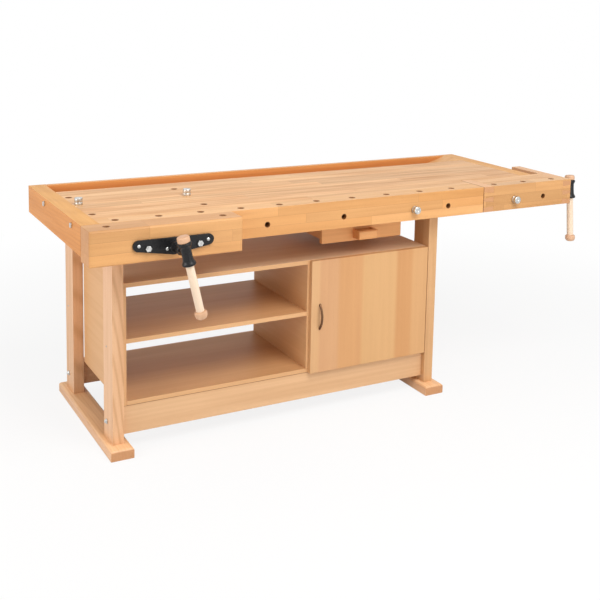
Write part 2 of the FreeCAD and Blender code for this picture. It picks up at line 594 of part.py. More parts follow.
tv_x0 = TV_X0 + TV_GAP
head_x = tv_x0 + TV_HEAD
arm_x = TV_X1 - TV_ARM
tv_y1 = TV_D - CLEAR
left_pins = pins((HEIGHT - PIN_TOP, HEIGHT), tv_x0, head_x)
right_pins = pins((HEIGHT - PIN_RIGHT[0], HEIGHT - PIN_RIGHT[1]), TV_X1, arm_x)
tv_head = fuse([box(tv_x0, head_x, TV_BOARD, tv_y1, UNDER, HEIGHT)] + left_pins)
tv_arm = fuse([box(arm_x, TV_X1, TV_BOARD, TV_ARM_D, UNDER, HEIGHT)] + right_pins)
tv_board = box(tv_x0, TV_X1, 0, TV_BOARD, UNDER, HEIGHT)
tv_board = tv_board.cut(group(left_pins)).cut(group(right_pins))
for x in tail_dog_x:
    tv_board = tv_board.cut(rod("z", (x, DOG_Y, UNDER), APRON, HOLE_R))
for x in tail_side_x:
    tv_board = tv_board.cut(rod("y", (x, 0, SIDE_Z), SIDE_DEPTH, HOLE_R))
tv_cover = box(head_x, arm_x, TV_BOARD, tv_y1, HEIGHT - TV_COVER, HEIGHT)
tv_arm = tv_arm.cut(rod("x", (arm_x, TV_Y, TV_Z), TV_ARM, SCREW_R + 1))
tv_rod_x0 = GUIDE_X0 - TV_TRAVEL - SCREW_PAST
tv_rod = rod("x", (tv_rod_x0, TV_ROD_Y, TV_ROD_Z), TV_X1 - 10 - tv_rod_x0, TV_ROD_R)
tv_arm = tv_arm.cut(tv_rod)

tv_flange = rod("x", (TV_X1, TV_Y, TV_Z), FLANGE_T, FLANGE_R)
tv_flange = tv_flange.fuse(rod("x", (TV_X1, TV_Y, TV_Z), FLANGE_OUT, SCREW_R + 11))
tv_flange = tv_flange.cut(rod("x", (TV_X1, TV_Y, TV_Z), FLANGE_OUT, SCREW_R + RUN_FIT)).removeSplitter()
tv_place = FreeCAD.Placement(V(TV_HUB_X, TV_Y, TV_Z), FreeCAD.Rotation(AX["x"], -TV_TILT))
nut_x0 = CAP_IN - 10
tv_tip = TV_HUB_X - (nut_x0 - TV_TRAVEL - SCREW_PAST)
tv_drive = vise_drive(tv_place, TV_HUB, FLANGE_OUT + 0.3, -TV_HUB - TV_ARM - 9.3, tv_tip)
tv_screw, tv_hub, tv_bar, tv_knobs = tv_drive

# nut: a flanged barrel let into the tongue of the right end cap
tv_nut = box(nut_x0, CAP_IN, TV_BOARD + 4, TV_D - 8, UNDER + 2, TONGUE_TOP - 1)
tv_nut = tv_nut.fuse(rod("x", (CAP_IN, TV_Y, TV_Z), CAP - 1, NUT_R))
tv_nut = tv_nut.cut(rod("x", (nut_x0, TV_Y, TV_Z), CAP + 9, SCREW_R + RUN_FIT)).removeSplitter()
guide_half = TV_ROD_R + TV_ROD_WALL + 11
guide_z0 = TV_ROD_Z - TV_ROD_R - TV_ROD_WALL
tv_guide = box(GUIDE_X0, GUIDE_X0 + GUIDE_L, TV_ROD_Y - guide_half, TV_ROD_Y + guide_half, guide_z0, SLAB_Z)
tv_guide = tv_guide.cut(rod("x", (GUIDE_X0, TV_ROD_Y, TV_ROD_Z), GUIDE_L, TV_ROD_R + RUN_FIT))


# ---------------------------------------------------------------- bench dogs
def dog(place, depth):
    shank = rod("z", (0, 0, -depth), depth, DOG_R)
    head = rod("z", (0, 0, 0), DOG_HEAD_H, DOG_HEAD_R)
    return placed([fuse([shank, head])], place)[0]


upright = FreeCAD.Rotation()
sideways = FreeCAD.Rotation(AX["x"], 90)
nodes["left_top_dog"] = dog(FreeCAD.Placement(V(CROSS_X[0], cross_y[1], HEIGHT), upright), SLAB - 2)
nodes["right_top_dog"] = dog(FreeCAD.Placement(V(CROSS_X[1], cross_y[1], HEIGHT), upright), SLAB - 2)
nodes["beam_side_dog"] = dog(FreeCAD.Placement(V(side_x[2], 0, SIDE_Z), sideways), SIDE_DEPTH - 2)
nodes["tail_side_dog"] = dog(FreeCAD.Placement(V(tail_side_x[0], 0, SIDE_Z), sideways), SIDE_DEPTH - 2)

# ---------------------------------------------------------------- node table
nodes["worktop_slab"] = slab
nodes["front_beam"] = beam
nodes["back_rail"] = back_rail
nodes["tray_bottom"] = tray
nodes["tray_ramp"] = ramp
nodes["left_end_cap"] = left_cap
nodes["right_end_cap"] = right_cap
nodes["frame_bolts"] = group(bolts + cap_bolts)
nodes.update(trestle)
nodes.update(stretchers)
nodes["cabinet_top"] = cab_top
nodes["cabinet_left_side"] = cab_left
nodes["cabinet_right_side"] = cab_right
nodes["cabinet_bottom"] = cab_bottom
nodes["cabinet_plinth"] = plinth
nodes["cabinet_divider"] = divider
nodes["open_shelf"] = shelf
nodes["cupboard_back"] = back
nodes["cupboard_door"] = door
nodes["door_handle"] = door_handle
nodes["cupboard_hinges"] = group(hinges)
nodes["drawer_front"] = front
nodes["drawer_pull"] = pull
nodes["drawer_sides"] = group(drawer_sides)
nodes["drawer_back"] = drawer_back
nodes["drawer_bottom"] = drawer_bottom
nodes["drawer_hangers"] = group(hangers)
nodes["front_vise_jaw"] = jaw
nodes["front_vise_plate"] = fv_plate
nodes["front_vise_bolts"] = group(fv_bolts)
nodes["front_vise_guide_rods"] = group(rods)
nodes["front_vise_nut_plate"] = fv_nut
nodes["front_vise_screw"] = fv_screw
nodes["front_vise_hub"] = fv_hub
nodes["front_handle_bar"] = fv_bar
nodes["front_handle_knobs"] = fv_knobs
nodes["tail_vise_front_board"] = tv_board
nodes["tail_vise_jaw_block"] = tv_head
nodes["tail_vise_end_block"] = tv_arm
nodes["tail_vise_cover"] = tv_cover
nodes["tail_vise_flange"] = tv_flange
nodes["tail_vise_guide_rod"] = tv_rod
nodes["tail_vise_guide_block"] = tv_guide
nodes["tail_vise_nut_plate"] = tv_nut
nodes["tail_vise_screw"] = tv_screw
nodes["tail_vise_hub"] = tv_hub
nodes["tail_handle_bar"] = tv_bar
nodes["tail_handle_knobs"] = tv_knobs

for name, shape in nodes.items():
    shape.translate(-ORIGIN)
    shape.exportStep("parts/" + name + ".step")
print(len(nodes), "nodes")
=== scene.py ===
import json
import math

import bmesh
import bpy
from mathutils import Matrix, Vector

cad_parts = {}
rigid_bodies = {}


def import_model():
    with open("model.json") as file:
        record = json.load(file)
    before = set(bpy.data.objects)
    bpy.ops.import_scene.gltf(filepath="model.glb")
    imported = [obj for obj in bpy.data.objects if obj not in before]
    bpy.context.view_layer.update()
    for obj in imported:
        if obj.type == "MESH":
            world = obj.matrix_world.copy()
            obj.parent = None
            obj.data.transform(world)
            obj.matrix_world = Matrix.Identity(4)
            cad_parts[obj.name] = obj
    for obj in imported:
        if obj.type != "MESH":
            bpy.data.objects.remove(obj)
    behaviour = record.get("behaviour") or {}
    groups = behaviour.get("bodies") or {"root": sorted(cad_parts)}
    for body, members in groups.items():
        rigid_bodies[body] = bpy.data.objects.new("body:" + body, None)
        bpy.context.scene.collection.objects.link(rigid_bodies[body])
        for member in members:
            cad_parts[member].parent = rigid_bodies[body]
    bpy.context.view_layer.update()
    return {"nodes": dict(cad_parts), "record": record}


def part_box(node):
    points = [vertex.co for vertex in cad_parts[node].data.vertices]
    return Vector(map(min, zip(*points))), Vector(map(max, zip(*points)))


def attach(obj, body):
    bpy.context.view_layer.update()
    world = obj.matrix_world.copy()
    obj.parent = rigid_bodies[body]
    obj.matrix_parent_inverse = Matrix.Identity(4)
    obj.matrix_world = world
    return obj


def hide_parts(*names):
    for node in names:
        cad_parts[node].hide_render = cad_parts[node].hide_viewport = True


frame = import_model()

bl_info = {
    "name": "Joiner's workbench",
    "version": (1, 0, 0),
    "blender": (4, 5, 0),
    "location": "View3D > Sidebar > Workbench",
    "description": "Dresses a beech workbench with two vises, a cabinet and a drawer",
    "category": "Object",
}

# ------------------------------------------------------------------ sizes and places
MM = 0.001
JOINTS = {joint["name"]: joint for joint in frame["record"]["behaviour"]["joints"]}
BODY_OF = {node: body for body, nodes in frame["record"]["behaviour"]["bodies"].items() for node in nodes}
METALS = {"zinc", "steel", "iron", "bronze"}
WHITE = (1.0, 1.0, 1.0, 1.0)
PAINTED_SHADE = (0.27, 0.11, 0.035, 1.0)        # painted shade: dark wood on the walls of a dog hole and in a shadow line between parts

FORWARD = Matrix.Rotation(math.radians(90), 4, "X")        # turns Z to the front
SIDEWAYS = Matrix.Rotation(math.radians(90), 4, "Y")       # turns Z to the right
SHARP = math.radians(38)               # an edge that bends more than this is eased
METAL_EDGE = 0.0008                    # eased edge of rods and hinge cups
BOLT_EDGE = 0.0006                     # eased edge of bolts and nuts
RIM = 0.0038                           # countersink of a dog hole in the top
BORE_REACH = 0.0098                    # from a dog hole's axis to just past its wall
WALL_REACH = 0.0108                    # the same with the eased edge of a hole in the front
RIM_REACH = 0.0137                     # the same with the countersink
FLUSH = 0.0005                         # an edge this close under a part's top lies in it
SQUARE = 0.96                          # a face whose normal has this much of an axis lies square to it
HEAD = 26.0                            # millimetres that a dog stands out of its hole
SHANK = 14.0                           # radius of both screws in millimetres
LEG_SCREW = (0.017, 0.380)             # behind the middle of a leg, and above the floor
PLATE_BOSS = 0.012                     # from the front of the plate's boss to its flat
PLATE_SCREWS = ((-123.4, 10), (123.4, 10), (-24.5, -8), (24.5, -8))    # millimetres from the hub


def ends(node):
    """The low and high corners of a node's box, and its middle."""
    low, high = (Vector(c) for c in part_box(node))
    return low, high, (low + high) / 2


def at(x, y, z):
    """A point given in millimetres from the bench's left front corner on the floor."""
    corner = ends("left_end_cap")[0]
    return Vector((corner.x, corner.y, 0.0)) + Vector((x, y, z)) * MM


def handle_place(vise):
    """Place of a handle's sleeve: its bar along Z, and its screw on the -X side."""
    up = Vector(JOINTS[vise + "_handle_slide"]["axis"]).normalized()
    out = Vector(JOINTS[vise + "_screw_turn"]["axis"]).normalized()
    return Matrix.Translation(HUB[vise]) @ Matrix((out, up.cross(out), up)).transposed().to_4x4()


def dog_place(node):
    """Where a dog's shank leaves its hole, with Z out of the hole, and the shank's length in millimetres."""
    low, high, mid = ends(node)
    if "side" in node:
        return Matrix.Translation((mid.x, low.y + HEAD * MM, mid.z)) @ FORWARD, (high.y - low.y) / MM - HEAD
    return Matrix.Translation((mid.x, mid.y, high.z - HEAD * MM)), (high.z - low.z) / MM - HEAD


def hole_axes():
    """The middle of every open dog hole and the number of the axis it runs along."""
    found = []
    for gap in frame["record"]["physics"]["openings"]:
        if "hole" in gap["name"]:
            low, high = (Vector(c) for c in gap["box_m"])
            found.append(((low + high) / 2, 1 if gap["name"].startswith("side") else 2))
    return found


HOLES = hole_axes()
EYE = at(-884.24, -3159.15, 1643.13)   # the camera
HUB = {vise: Vector(JOINTS[vise + "_screw_turn"]["pos_m"]) for vise in ("front", "tail")}
SCREWS = {                             # the hub's place, then tip, ring and shoulder along its Z (mm)
    "front": (Matrix.Translation(HUB["front"]) @ FORWARD,
              (HUB["front"].y - ends("front_vise_screw")[1].y) / MM, -216.0, -99.7),
    "tail": (Matrix.Translation(HUB["tail"]) @ SIDEWAYS,
             (ends("tail_vise_screw")[0].x - HUB["tail"].x) / MM, -136.3, -68.7),
}
SHADOW_LINES = (                        # axis, place, reach and depth of the painted shadow lines between parts
    (0, (ends("front_beam")[1].x + ends("tail_vise_front_board")[0].x) / 2, 0.0017, 1.0),
    (2, ends("cabinet_bottom")[0].z, 0.0017, 0.6),
)


# ------------------------------------------------------------------ settings
class BenchWood(bpy.types.PropertyGroup):
    """Colours and edges of the beech."""
    top: bpy.props.FloatVectorProperty(name="Worktop", description="Pale tone of the worktop's staves",
                                       subtype="COLOR", default=(0.86, 0.515, 0.245), min=0, max=1)
    apron: bpy.props.FloatVectorProperty(name="Apron", description="Tone of the front beam and the vise jaws",
                                         subtype="COLOR", default=(0.72, 0.39, 0.16), min=0, max=1)
    # the end caps' darker, more orange tone is partly the wood and partly painted shade with warm bounce
    # light on the left end
    cap: bpy.props.FloatVectorProperty(name="End caps", description="Tone of the end caps",
                                       subtype="COLOR", default=(0.68, 0.265, 0.038), min=0, max=1)
    frame: bpy.props.FloatVectorProperty(name="Frame", description="Tone of legs, feet and rails",
                                         subtype="COLOR", default=(0.80, 0.49, 0.28), min=0, max=1)
    rail: bpy.props.FloatVectorProperty(name="Back rail", description="Tone of the rail behind the tool tray",
                                        subtype="COLOR", default=(0.70, 0.305, 0.095), min=0, max=1)
    board: bpy.props.FloatVectorProperty(name="Boards", description="Tone of the cabinet boards",
                                         subtype="COLOR", default=(0.715, 0.42, 0.205), min=0, max=1)
    plinth: bpy.props.FloatVectorProperty(name="Plinth", description="Tone of the board under the cabinet",
                                          subtype="COLOR", default=(0.73, 0.46, 0.255), min=0, max=1)
    # the drawer's tone is raised above the wood's own as painted light, for the shade under the front beam
    drawer: bpy.props.FloatVectorProperty(name="Drawer", description="Tone of the drawer and its pull",
                                          subtype="COLOR", default=(0.86, 0.43, 0.165), min=0, max=1)
    turned: bpy.props.FloatVectorProperty(name="Turned bars", description="Tone of the vise handles",
                                          subtype="COLOR", default=(0.86, 0.69, 0.53), min=0, max=1)
    knob: bpy.props.FloatVectorProperty(name="Knobs", description="Tone of the knobs on the handles",
                                        subtype="COLOR", default=(0.70, 0.44, 0.28), min=0, max=1)
    edge: bpy.props.FloatProperty(name="Edge rounding", description="Width of the eased edges of solid wood",
                                  subtype="DISTANCE", unit="LENGTH", default=0.0016, min=0)
    board_edge: bpy.props.FloatProperty(name="Board edge rounding", description="Width of eased board edges",
                                        subtype="DISTANCE", unit="LENGTH", default=0.0008, min=0)


class BenchMetal(bpy.types.PropertyGroup):
    """Colours of the metal parts and the sizes of the threads."""
    zinc: bpy.props.FloatVectorProperty(name="Zinc", description="Colour of plated bolts and dogs",
                                        subtype="COLOR", default=(0.72, 0.72, 0.70), min=0, max=1)
    steel: bpy.props.FloatVectorProperty(name="Steel", description="Colour of screws and guide rods",
                                         subtype="COLOR", default=(0.52, 0.52, 0.53), min=0, max=1)
    iron: bpy.props.FloatVectorProperty(name="Black iron", description="Colour of the painted castings",
                                        subtype="COLOR", default=(0.012, 0.012, 0.013), min=0, max=1)
    bronze: bpy.props.FloatVectorProperty(name="Bronze", description="Colour of the door handle",
                                          subtype="COLOR", default=(0.16, 0.085, 0.045), min=0, max=1)
    lead: bpy.props.FloatProperty(name="Screw lead", description="Travel of a vise for one turn",
                                  subtype="DISTANCE", unit="LENGTH", default=0.006, min=0.001)
    thread_depth: bpy.props.FloatProperty(name="Thread depth", description="Depth of the screw threads",
                                          subtype="DISTANCE", unit="LENGTH", default=0.0026, min=0.0005)
    ease: bpy.props.FloatProperty(name="Casting edge", description="Rounding of the castings' edges",
                                  subtype="DISTANCE", unit="LENGTH", default=0.0014, min=0)


class BenchStage(bpy.types.PropertyGroup):
    """Light, floor and camera."""
    key: bpy.props.FloatProperty(name="Key light", description="Power of the soft key light", unit="POWER",
                                 default=106.0, min=0)
    fill: bpy.props.FloatProperty(name="Fill light", description="Power of the fill light", unit="POWER",
                                  default=20.0, min=0)
    side: bpy.props.FloatProperty(name="Side light", description="Power of the light on the left end",
                                  unit="POWER", default=40.0, min=0)
    sky: bpy.props.FloatProperty(name="Surround", description="Strength of the even light from all round",
                                 subtype="FACTOR", default=0.46, min=0)
    floor: bpy.props.FloatVectorProperty(name="Floor", description="Colour of the floor", subtype="COLOR",
                                         default=(0.85, 0.85, 0.85), min=0, max=1)
    yaw: bpy.props.FloatProperty(name="Camera yaw", description="Turn of the view to the right",
                                 subtype="ANGLE", default=0.49358)
    pitch: bpy.props.FloatProperty(name="Camera pitch", description="Tilt of the view below the horizon",
                                   subtype="ANGLE", default=0.13562)
    roll: bpy.props.FloatProperty(name="Camera roll", description="Roll of the view",
                                  subtype="ANGLE", default=-0.01942)
    lens: bpy.props.FloatProperty(name="Lens", description="Focal length for a 36 mm sensor",
                                  subtype="DISTANCE_CAMERA", unit="CAMERA", default=59.604, min=10)
    shift: bpy.props.FloatProperty(name="Lens shift", description="Vertical shift as a share of the frame",
                                   subtype="FACTOR", default=-0.29)


# ------------------------------------------------------------------ shader maths
class Value:
    """A shader socket whose arithmetic adds Math nodes."""

    def __init__(self, shade, socket):
        self.shade = shade
        self.socket = socket

    def maths(self, operation, *others):
        """One Math node on this value and the others."""
        return self.shade.node("ShaderNodeMath", {"operation": operation}, [self, *others])

    def __add__(self, other):
        return self.maths("ADD", other)

    __radd__ = __add__

    def __mul__(self, other):
        return self.maths("MULTIPLY", other)

    __rmul__ = __mul__

    def __sub__(self, other):
        return self.maths("SUBTRACT", other)

    def __rsub__(self, other):
        return self.shade.node("ShaderNodeMath", {"operation": "SUBTRACT"}, [other, self])

    def __truediv__(self, other):
        return self.maths("DIVIDE", other)

    def __pow__(self, other):
        return self.maths("POWER", other)

    def __abs__(self):
        return self.maths("ABSOLUTE")

    def floor(self):
        return self.maths("FLOOR")

    def fract(self):
        return self.maths("FRACT")

    def sine(self):
        return self.maths("SINE")

    def root(self):
        return self.maths("SQRT")

    def lower(self, other):
        return self.maths("MINIMUM", other)

    def upper(self, other):
        return self.maths("MAXIMUM", other)

    def step(self, low, high, start=0.0, end=1.0):
        """A smooth change from start at low to end at high."""
        return self.shade.node("ShaderNodeMapRange", {"interpolation_type": "SMOOTHSTEP"},
                               [self, low, high, start, end])

    def fall(self, low, high):
        """A smooth fall from 1 at low to 0 at high."""
        return self.step(low, high, 1.0, 0.0)


class Shade:
    """A material or a world under construction, from its main shader to its output."""

    def __init__(self, name, home="materials", skin="ShaderNodeBsdfPrincipled",
                 end="ShaderNodeOutputMaterial"):
        self.result = getattr(bpy.data, home).new(name)
        self.result.use_nodes = True
        self.tree = self.result.node_tree
        self.tree.nodes.clear()
        self.skin = self.tree.nodes.new(skin)
        self.end = self.tree.nodes.new(end)
        self.tree.links.new(self.skin.outputs[0], self.end.inputs[0])

    def join(self, value, socket):
        """Links a value to a socket, or sets the socket to a plain number or colour."""
        if isinstance(value, Value):
            self.tree.links.new(value.socket, socket)
        elif value is not None:
            socket.default_value = value

    def node(self, kind, settings=None, values=(), out=0):
        """Adds a node: settings first, then its inputs in order or by name, and returns one output."""
        made = self.tree.nodes.new(kind)
        for key, value in (settings or {}).items():
            if key == "stops":
                ramp = made.color_ramp
                while len(ramp.elements) < len(value):
                    ramp.elements.new(0.5)
                for element, (place, colour) in zip(ramp.elements, value):
                    element.position = place
                    element.color = colour
            else:
                setattr(made, key, value)
        pairs = values.items() if isinstance(values, dict) else enumerate(values)
        for key, value in pairs:
            self.join(value, made.inputs[key])
        return Value(self, made.outputs[out])

    def vector(self, x, y, z):
        return self.node("ShaderNodeCombineXYZ", None, [x, y, z])

    def split(self, vector):
        made = self.node("ShaderNodeSeparateXYZ", None, [vector])
        return [Value(self, socket) for socket in made.socket.node.outputs]

    def noise(self, vector, detail=2.0, rough=0.5, scale=1.0):
        return self.node("ShaderNodeTexNoise", None,
                         {"Vector": vector, "Scale": scale, "Detail": detail, "Roughness": rough})

    def chance(self, x, y, z):
        """A fixed random number for a cell."""
        return self.node("ShaderNodeTexWhiteNoise", {"noise_dimensions": "3D"}, [self.vector(x, y, z)])

    def mix(self, amount, first, second, how="MIX"):
        return self.node("ShaderNodeMix", {"data_type": "RGBA", "blend_type": how},
                         {0: amount, 6: first, 7: second}, out=2)

    def shaded(self):
        """Mask of painted shade: 1 on the walls of dog holes and in the shadow lines between parts."""
        return self.node("ShaderNodeAttribute", {"attribute_name": "shade"}, out="Fac")

    def place(self, turn=(0.0, 0.0, 0.0), centre=(0.0, 0.0, 0.0)):
        """Object coordinates, moved to centre and turned."""
        raw = self.node("ShaderNodeTexCoord", out="Object")
        if not any(turn) and not any(centre):
            return raw
        moved = self.node("ShaderNodeVectorMath", {"operation": "SUBTRACT"}, [raw, tuple(centre)])
        return self.node("ShaderNodeMapping", {"vector_type": "POINT"},
                         {"Vector": moved, "Rotation": tuple(turn)})

    def dress(self, colour, rough, metallic=0.0, bump=None, depth=0.0002, strength=0.3, specular=0.5):
        """Sets the main shader's colour, roughness and bump, and returns the material."""
        skin = self.skin
        self.join(colour, skin.inputs["Base Color"])
        self.join(rough, skin.inputs["Roughness"])
        skin.inputs["Metallic"].default_value = metallic
        skin.inputs["Specular IOR Level"].default_value = specular
        if bump is not None:
            normal = self.node("ShaderNodeBump", None,
                               {"Strength": strength, "Distance": depth, "Height": bump})
            self.join(normal, skin.inputs["Normal"])
        return self.result

    def seen(self):
        """1 for what the camera sees, also in a mirror or through a clear part."""
        path = self.node("ShaderNodeLightPath").socket.node.outputs
        camera, glossy, clear = (Value(self, path["Is " + ray + " Ray"])
                                 for ray in ("Camera", "Glossy", "Transmission"))
        return camera.upper(glossy).upper(clear)

    def blend(self, amount, other):
        """Mixes the main shader with another one."""
        mixed = self.node("ShaderNodeMixShader", None, [amount, Value(self, self.skin.outputs[0]), other])
        self.tree.links.new(mixed.socket, self.end.inputs[0])


def rgba(colour, gain=1.0):
    """A colour times one gain, or times a gain for each channel."""
    gains = gain if isinstance(gain, tuple) else (gain,) * 3
    return tuple(min(1.0, c * g) for c, g in zip(colour, gains)) + (1.0,)


AXIS_ORDER = {"x": (0, 1, 2), "y": (1, 2, 0), "z": (2, 0, 1)}


def beech(name, colour, along="x", staves=None, length=0.7, tone=0.10, streak=0.5, rings=0.0, spacing=0.011,
          pith=(0.03, 0.09), slope=0.06, tilt=0.0, seed=1.0, rough=0.42, seam=0.6, offset=(0.0, 0.0),
          turn=(0.0, 0.0, 0.0), centre=(0.0, 0.0, 0.0), end_grain=0.6, painted_top_shading=None, foot=None,
          vary=(1.0, 0.965, 0.90), depth=1.0):
    """Beech in solid coordinates: glued staves, long streaks, growth rings, fine pores and darker end grain.

    slope and tilt lead the pith away sideways and in depth, and depth deepens the streaks. Faces that look up
    take their own gains as painted light and shade on the tops, and the wood between the heights of foot is
    darker towards the lower one, painted shade at the foot of a face."""
    s = Shade(name)
    parts = s.split(s.place(turn, centre))
    u, v, w = (parts[i] for i in AXIS_ORDER[along])
    if staves:
        row = v / staves[0] + offset[0]
        column = w / staves[1] + offset[1]
        lot = s.chance(row.floor(), column.floor(), seed)
        run = u / length + lot * 9.0
        piece = s.chance(row.floor() + seed, column.floor() + run.floor() * 3.0, run.floor())
        side = abs(row.fract() - 0.5)
        deep = abs(column.fract() - 0.5)
        far = abs(run.fract() - 0.5)
        glue = ((0.5 - side) * staves[0]).lower((0.5 - deep) * staves[1]).lower((0.5 - far) * length)
        line = glue.fall(0.0001, 0.0007)
    else:
        piece = 0.5
    jump = piece * 13.0
    broad = s.noise(s.vector(u * 1.1 + jump, v * 11.0 + jump, w * 11.0 + seed), 2.0, 0.5)
    streaks = s.noise(s.vector(u * 2.6 + jump, v * 60.0 + jump, w * 60.0 + seed), 4.0, 0.6)
    fine = s.noise(s.vector(u * 22.0, v * 640.0 + jump, w * 640.0), 2.0, 0.5)
    fleck = s.noise(s.vector(u * 130.0 + jump, v * 1500.0, w * 1500.0 + seed), 1.0, 0.5).step(0.60, 0.72)
    dark = (broad.step(0.30, 0.70) * 0.45 + streaks.step(0.32, 0.72) * streak) * 0.8
    if rings:
        sway = s.noise(s.vector(u * 1.7 + jump, v * 4.0, w * 4.0 + jump), 2.0, 0.5) - 0.5
        q = v + u * slope + sway * 0.035 + (piece * 0.05 if staves else 0.0) + pith[0]
        t = w + u * tilt + pith[1]
        radius = (q * q + t * t).root()
        wave = (radius * (2 * math.pi / spacing) + streaks * 1.5).sine() * 0.5 + 0.5
        dark = dark + (wave ** 3.0) * rings
    light = rgba(colour, 1.07)
    shade = rgba(colour, tuple(1.0 - depth * loss for loss in (0.20, 0.30, 0.40)))
    tint = s.mix(dark.lower(1.0), light, shade)
    if staves:
        lift = (piece - 0.5) * (2.0 * tone)
        red = s.mix((piece * 7.3).fract(), WHITE, rgba(vary))
        gain = lift + 1.0
        tint = s.mix(1.0, tint, s.vector(gain, gain, gain), "MULTIPLY")
        tint = s.mix(1.0, tint, red, "MULTIPLY")
        tint = s.mix(line * seam, tint, rgba(colour, (0.45, 0.30, 0.2)))
    tint = s.mix(fleck * 0.30, tint, rgba(colour, (0.55, 0.42, 0.33)))
    normal = s.split(s.node("ShaderNodeTexCoord", out="Normal"))
    # painted light and shade: faces that look up take their own gains, paler and bluer on most tops, darker
    # on a few
    if painted_top_shading:
        painted_top_tint = s.mix(1.0, tint, s.vector(*painted_top_shading), "MULTIPLY")
        tint = s.mix(normal[2].step(0.5, 0.9), tint, painted_top_tint)
    # painted shade: darker towards the lower of the two heights of foot, where the tray shades the back rail
    if foot:
        low = parts[2].fall(*foot)
        tint = s.mix(low * 0.6, tint, rgba(colour, (0.62, 0.45, 0.35)))
    if not any(turn):
        end = abs(normal[AXIS_ORDER[along][0]]).step(0.6, 0.95)
        pores = s.noise(s.vector(u * 40.0, v * 900.0, w * 900.0), 2.0, 0.6)
        butt = s.mix(pores.step(0.3, 0.7), rgba(colour, (0.72, 0.56, 0.42)), rgba(colour, (0.60, 0.43, 0.30)))
        tint = s.mix(end * end_grain, tint, butt)
    # painted shade on the walls of dog holes and in the shadow lines between parts
    tint = s.mix(s.shaded(), tint, PAINTED_SHADE)
    height = fine * 0.6 - fleck * 0.4 - (line * 1.2 if staves else 0.0)
    gloss = (streaks - 0.5) * 0.16 + fleck * 0.12 + rough
    return s.dress(tint, gloss, bump=height, depth=0.00025, strength=0.35, specular=0.35)


def veneer(name, colour, along="z", leaf=0.12, seed=3.0, rough=0.44, band=0.12, cloud=0.35, grain=0.28,
           leaves=None, painted_top_shading=None):
    """Smooth faced board: even tone, faint leaves side by side and very fine grain.

    leaves gives the start, the width and the far edges and gains of leaves of different width."""
    s = Shade(name)
    parts = s.split(s.place())
    u, v, w = (parts[i] for i in AXIS_ORDER[along])
    strip = (v / leaf + seed).floor()
    lot = s.chance(strip, seed, 2.0)
    broad = s.noise(s.vector(u * 0.9 + lot * 5.0, v * 12.0, w * 12.0 + seed), 2.0, 0.5)
    thin = s.noise(s.vector(u * 2.0 + lot * 9.0, v * 90.0, w * 90.0), 3.0, 0.55)
    pores = s.noise(s.vector(u * 40.0, v * 700.0, w * 700.0), 1.0, 0.5).step(0.6, 0.75)
    dark = broad.step(0.3, 0.7) * cloud + thin.step(0.3, 0.7) * grain + lot * band
    tint = s.mix(dark.lower(1.0), rgba(colour, 1.06), rgba(colour, (0.84, 0.76, 0.68)))
    tint = s.mix(pores * 0.12, tint, rgba(colour, (0.6, 0.46, 0.36)))
    if leaves:
        start, width, edges = leaves
        stops, before = [], 0.0
        for edge, gain in edges:
            stops += [(before + 0.012, (*gain, 1.0)), (edge / width - 0.012, (*gain, 1.0))]
            before = edge / width
        ramp = s.node("ShaderNodeValToRGB", {"stops": stops}, [(v - start) / (width * MM)])
        tint = s.mix(1.0, tint, ramp, "MULTIPLY")
    # painted light and shade: faces that look up take their own gains, paler and bluer on most tops, darker
    # on a few
    if painted_top_shading:
        facing = s.split(s.node("ShaderNodeTexCoord", out="Normal"))[2].step(0.5, 0.9)
        tint = s.mix(facing, tint, s.mix(1.0, tint, s.vector(*painted_top_shading), "MULTIPLY"))
    # painted shade on the walls of dog holes and in the shadow lines between parts
    tint = s.mix(s.shaded(), tint, PAINTED_SHADE)
    return s.dress(tint, thin * 0.12 + rough, bump=thin * 0.5 - pores * 0.5, depth=0.00012, strength=0.3,
                   specular=0.35)


def plated(name, colour, rough=0.22, contrast=0.62):
    """Bright plated or turned steel, clouded and finely rough."""
    s = Shade(name)
    p = s.place()
    cloud = s.noise(p, 3.0, 0.6, 110.0)
    fine = s.noise(p, 2.0, 0.5, 900.0)
    tint = s.mix(cloud.step(0.35, 0.65), rgba(colour), rgba(colour, contrast))
    return s.dress(tint, cloud * 0.16 + rough, 1.0, bump=fine, depth=0.00005, strength=0.2)


def enamel(name, colour):
    """Gloss black paint on rough iron, worn thin and brownish here and there."""
    s = Shade(name)
    p = s.place()
    cast = s.noise(p, 3.0, 0.55, 240.0)
    lump = s.noise(p, 2.0, 0.5, 70.0)
    worn = s.noise(p, 3.0, 0.7, 150.0).step(0.66, 0.74)
    tint = s.mix(worn * 0.4, rgba(colour), rgba((0.035, 0.028, 0.024)))
    return s.dress(tint, lump * 0.16 + 0.20, bump=cast * 0.5 + lump, depth=0.0005, strength=0.35,
                   specular=0.26)


def burnished(name, colour):
    """Dark bronze with a brighter rub here and there."""
    s = Shade(name)
    p = s.place()
    rub = s.noise(p, 3.0, 0.6, 110.0).step(0.45, 0.75)
    tint = s.mix(rub * 0.6, rgba(colour), rgba(colour, (2.0, 1.9, 1.7)))
    return s.dress(tint, 0.42 - rub * 0.12, 0.9, bump=rub, depth=0.0001, strength=0.2)


FINISH = {}


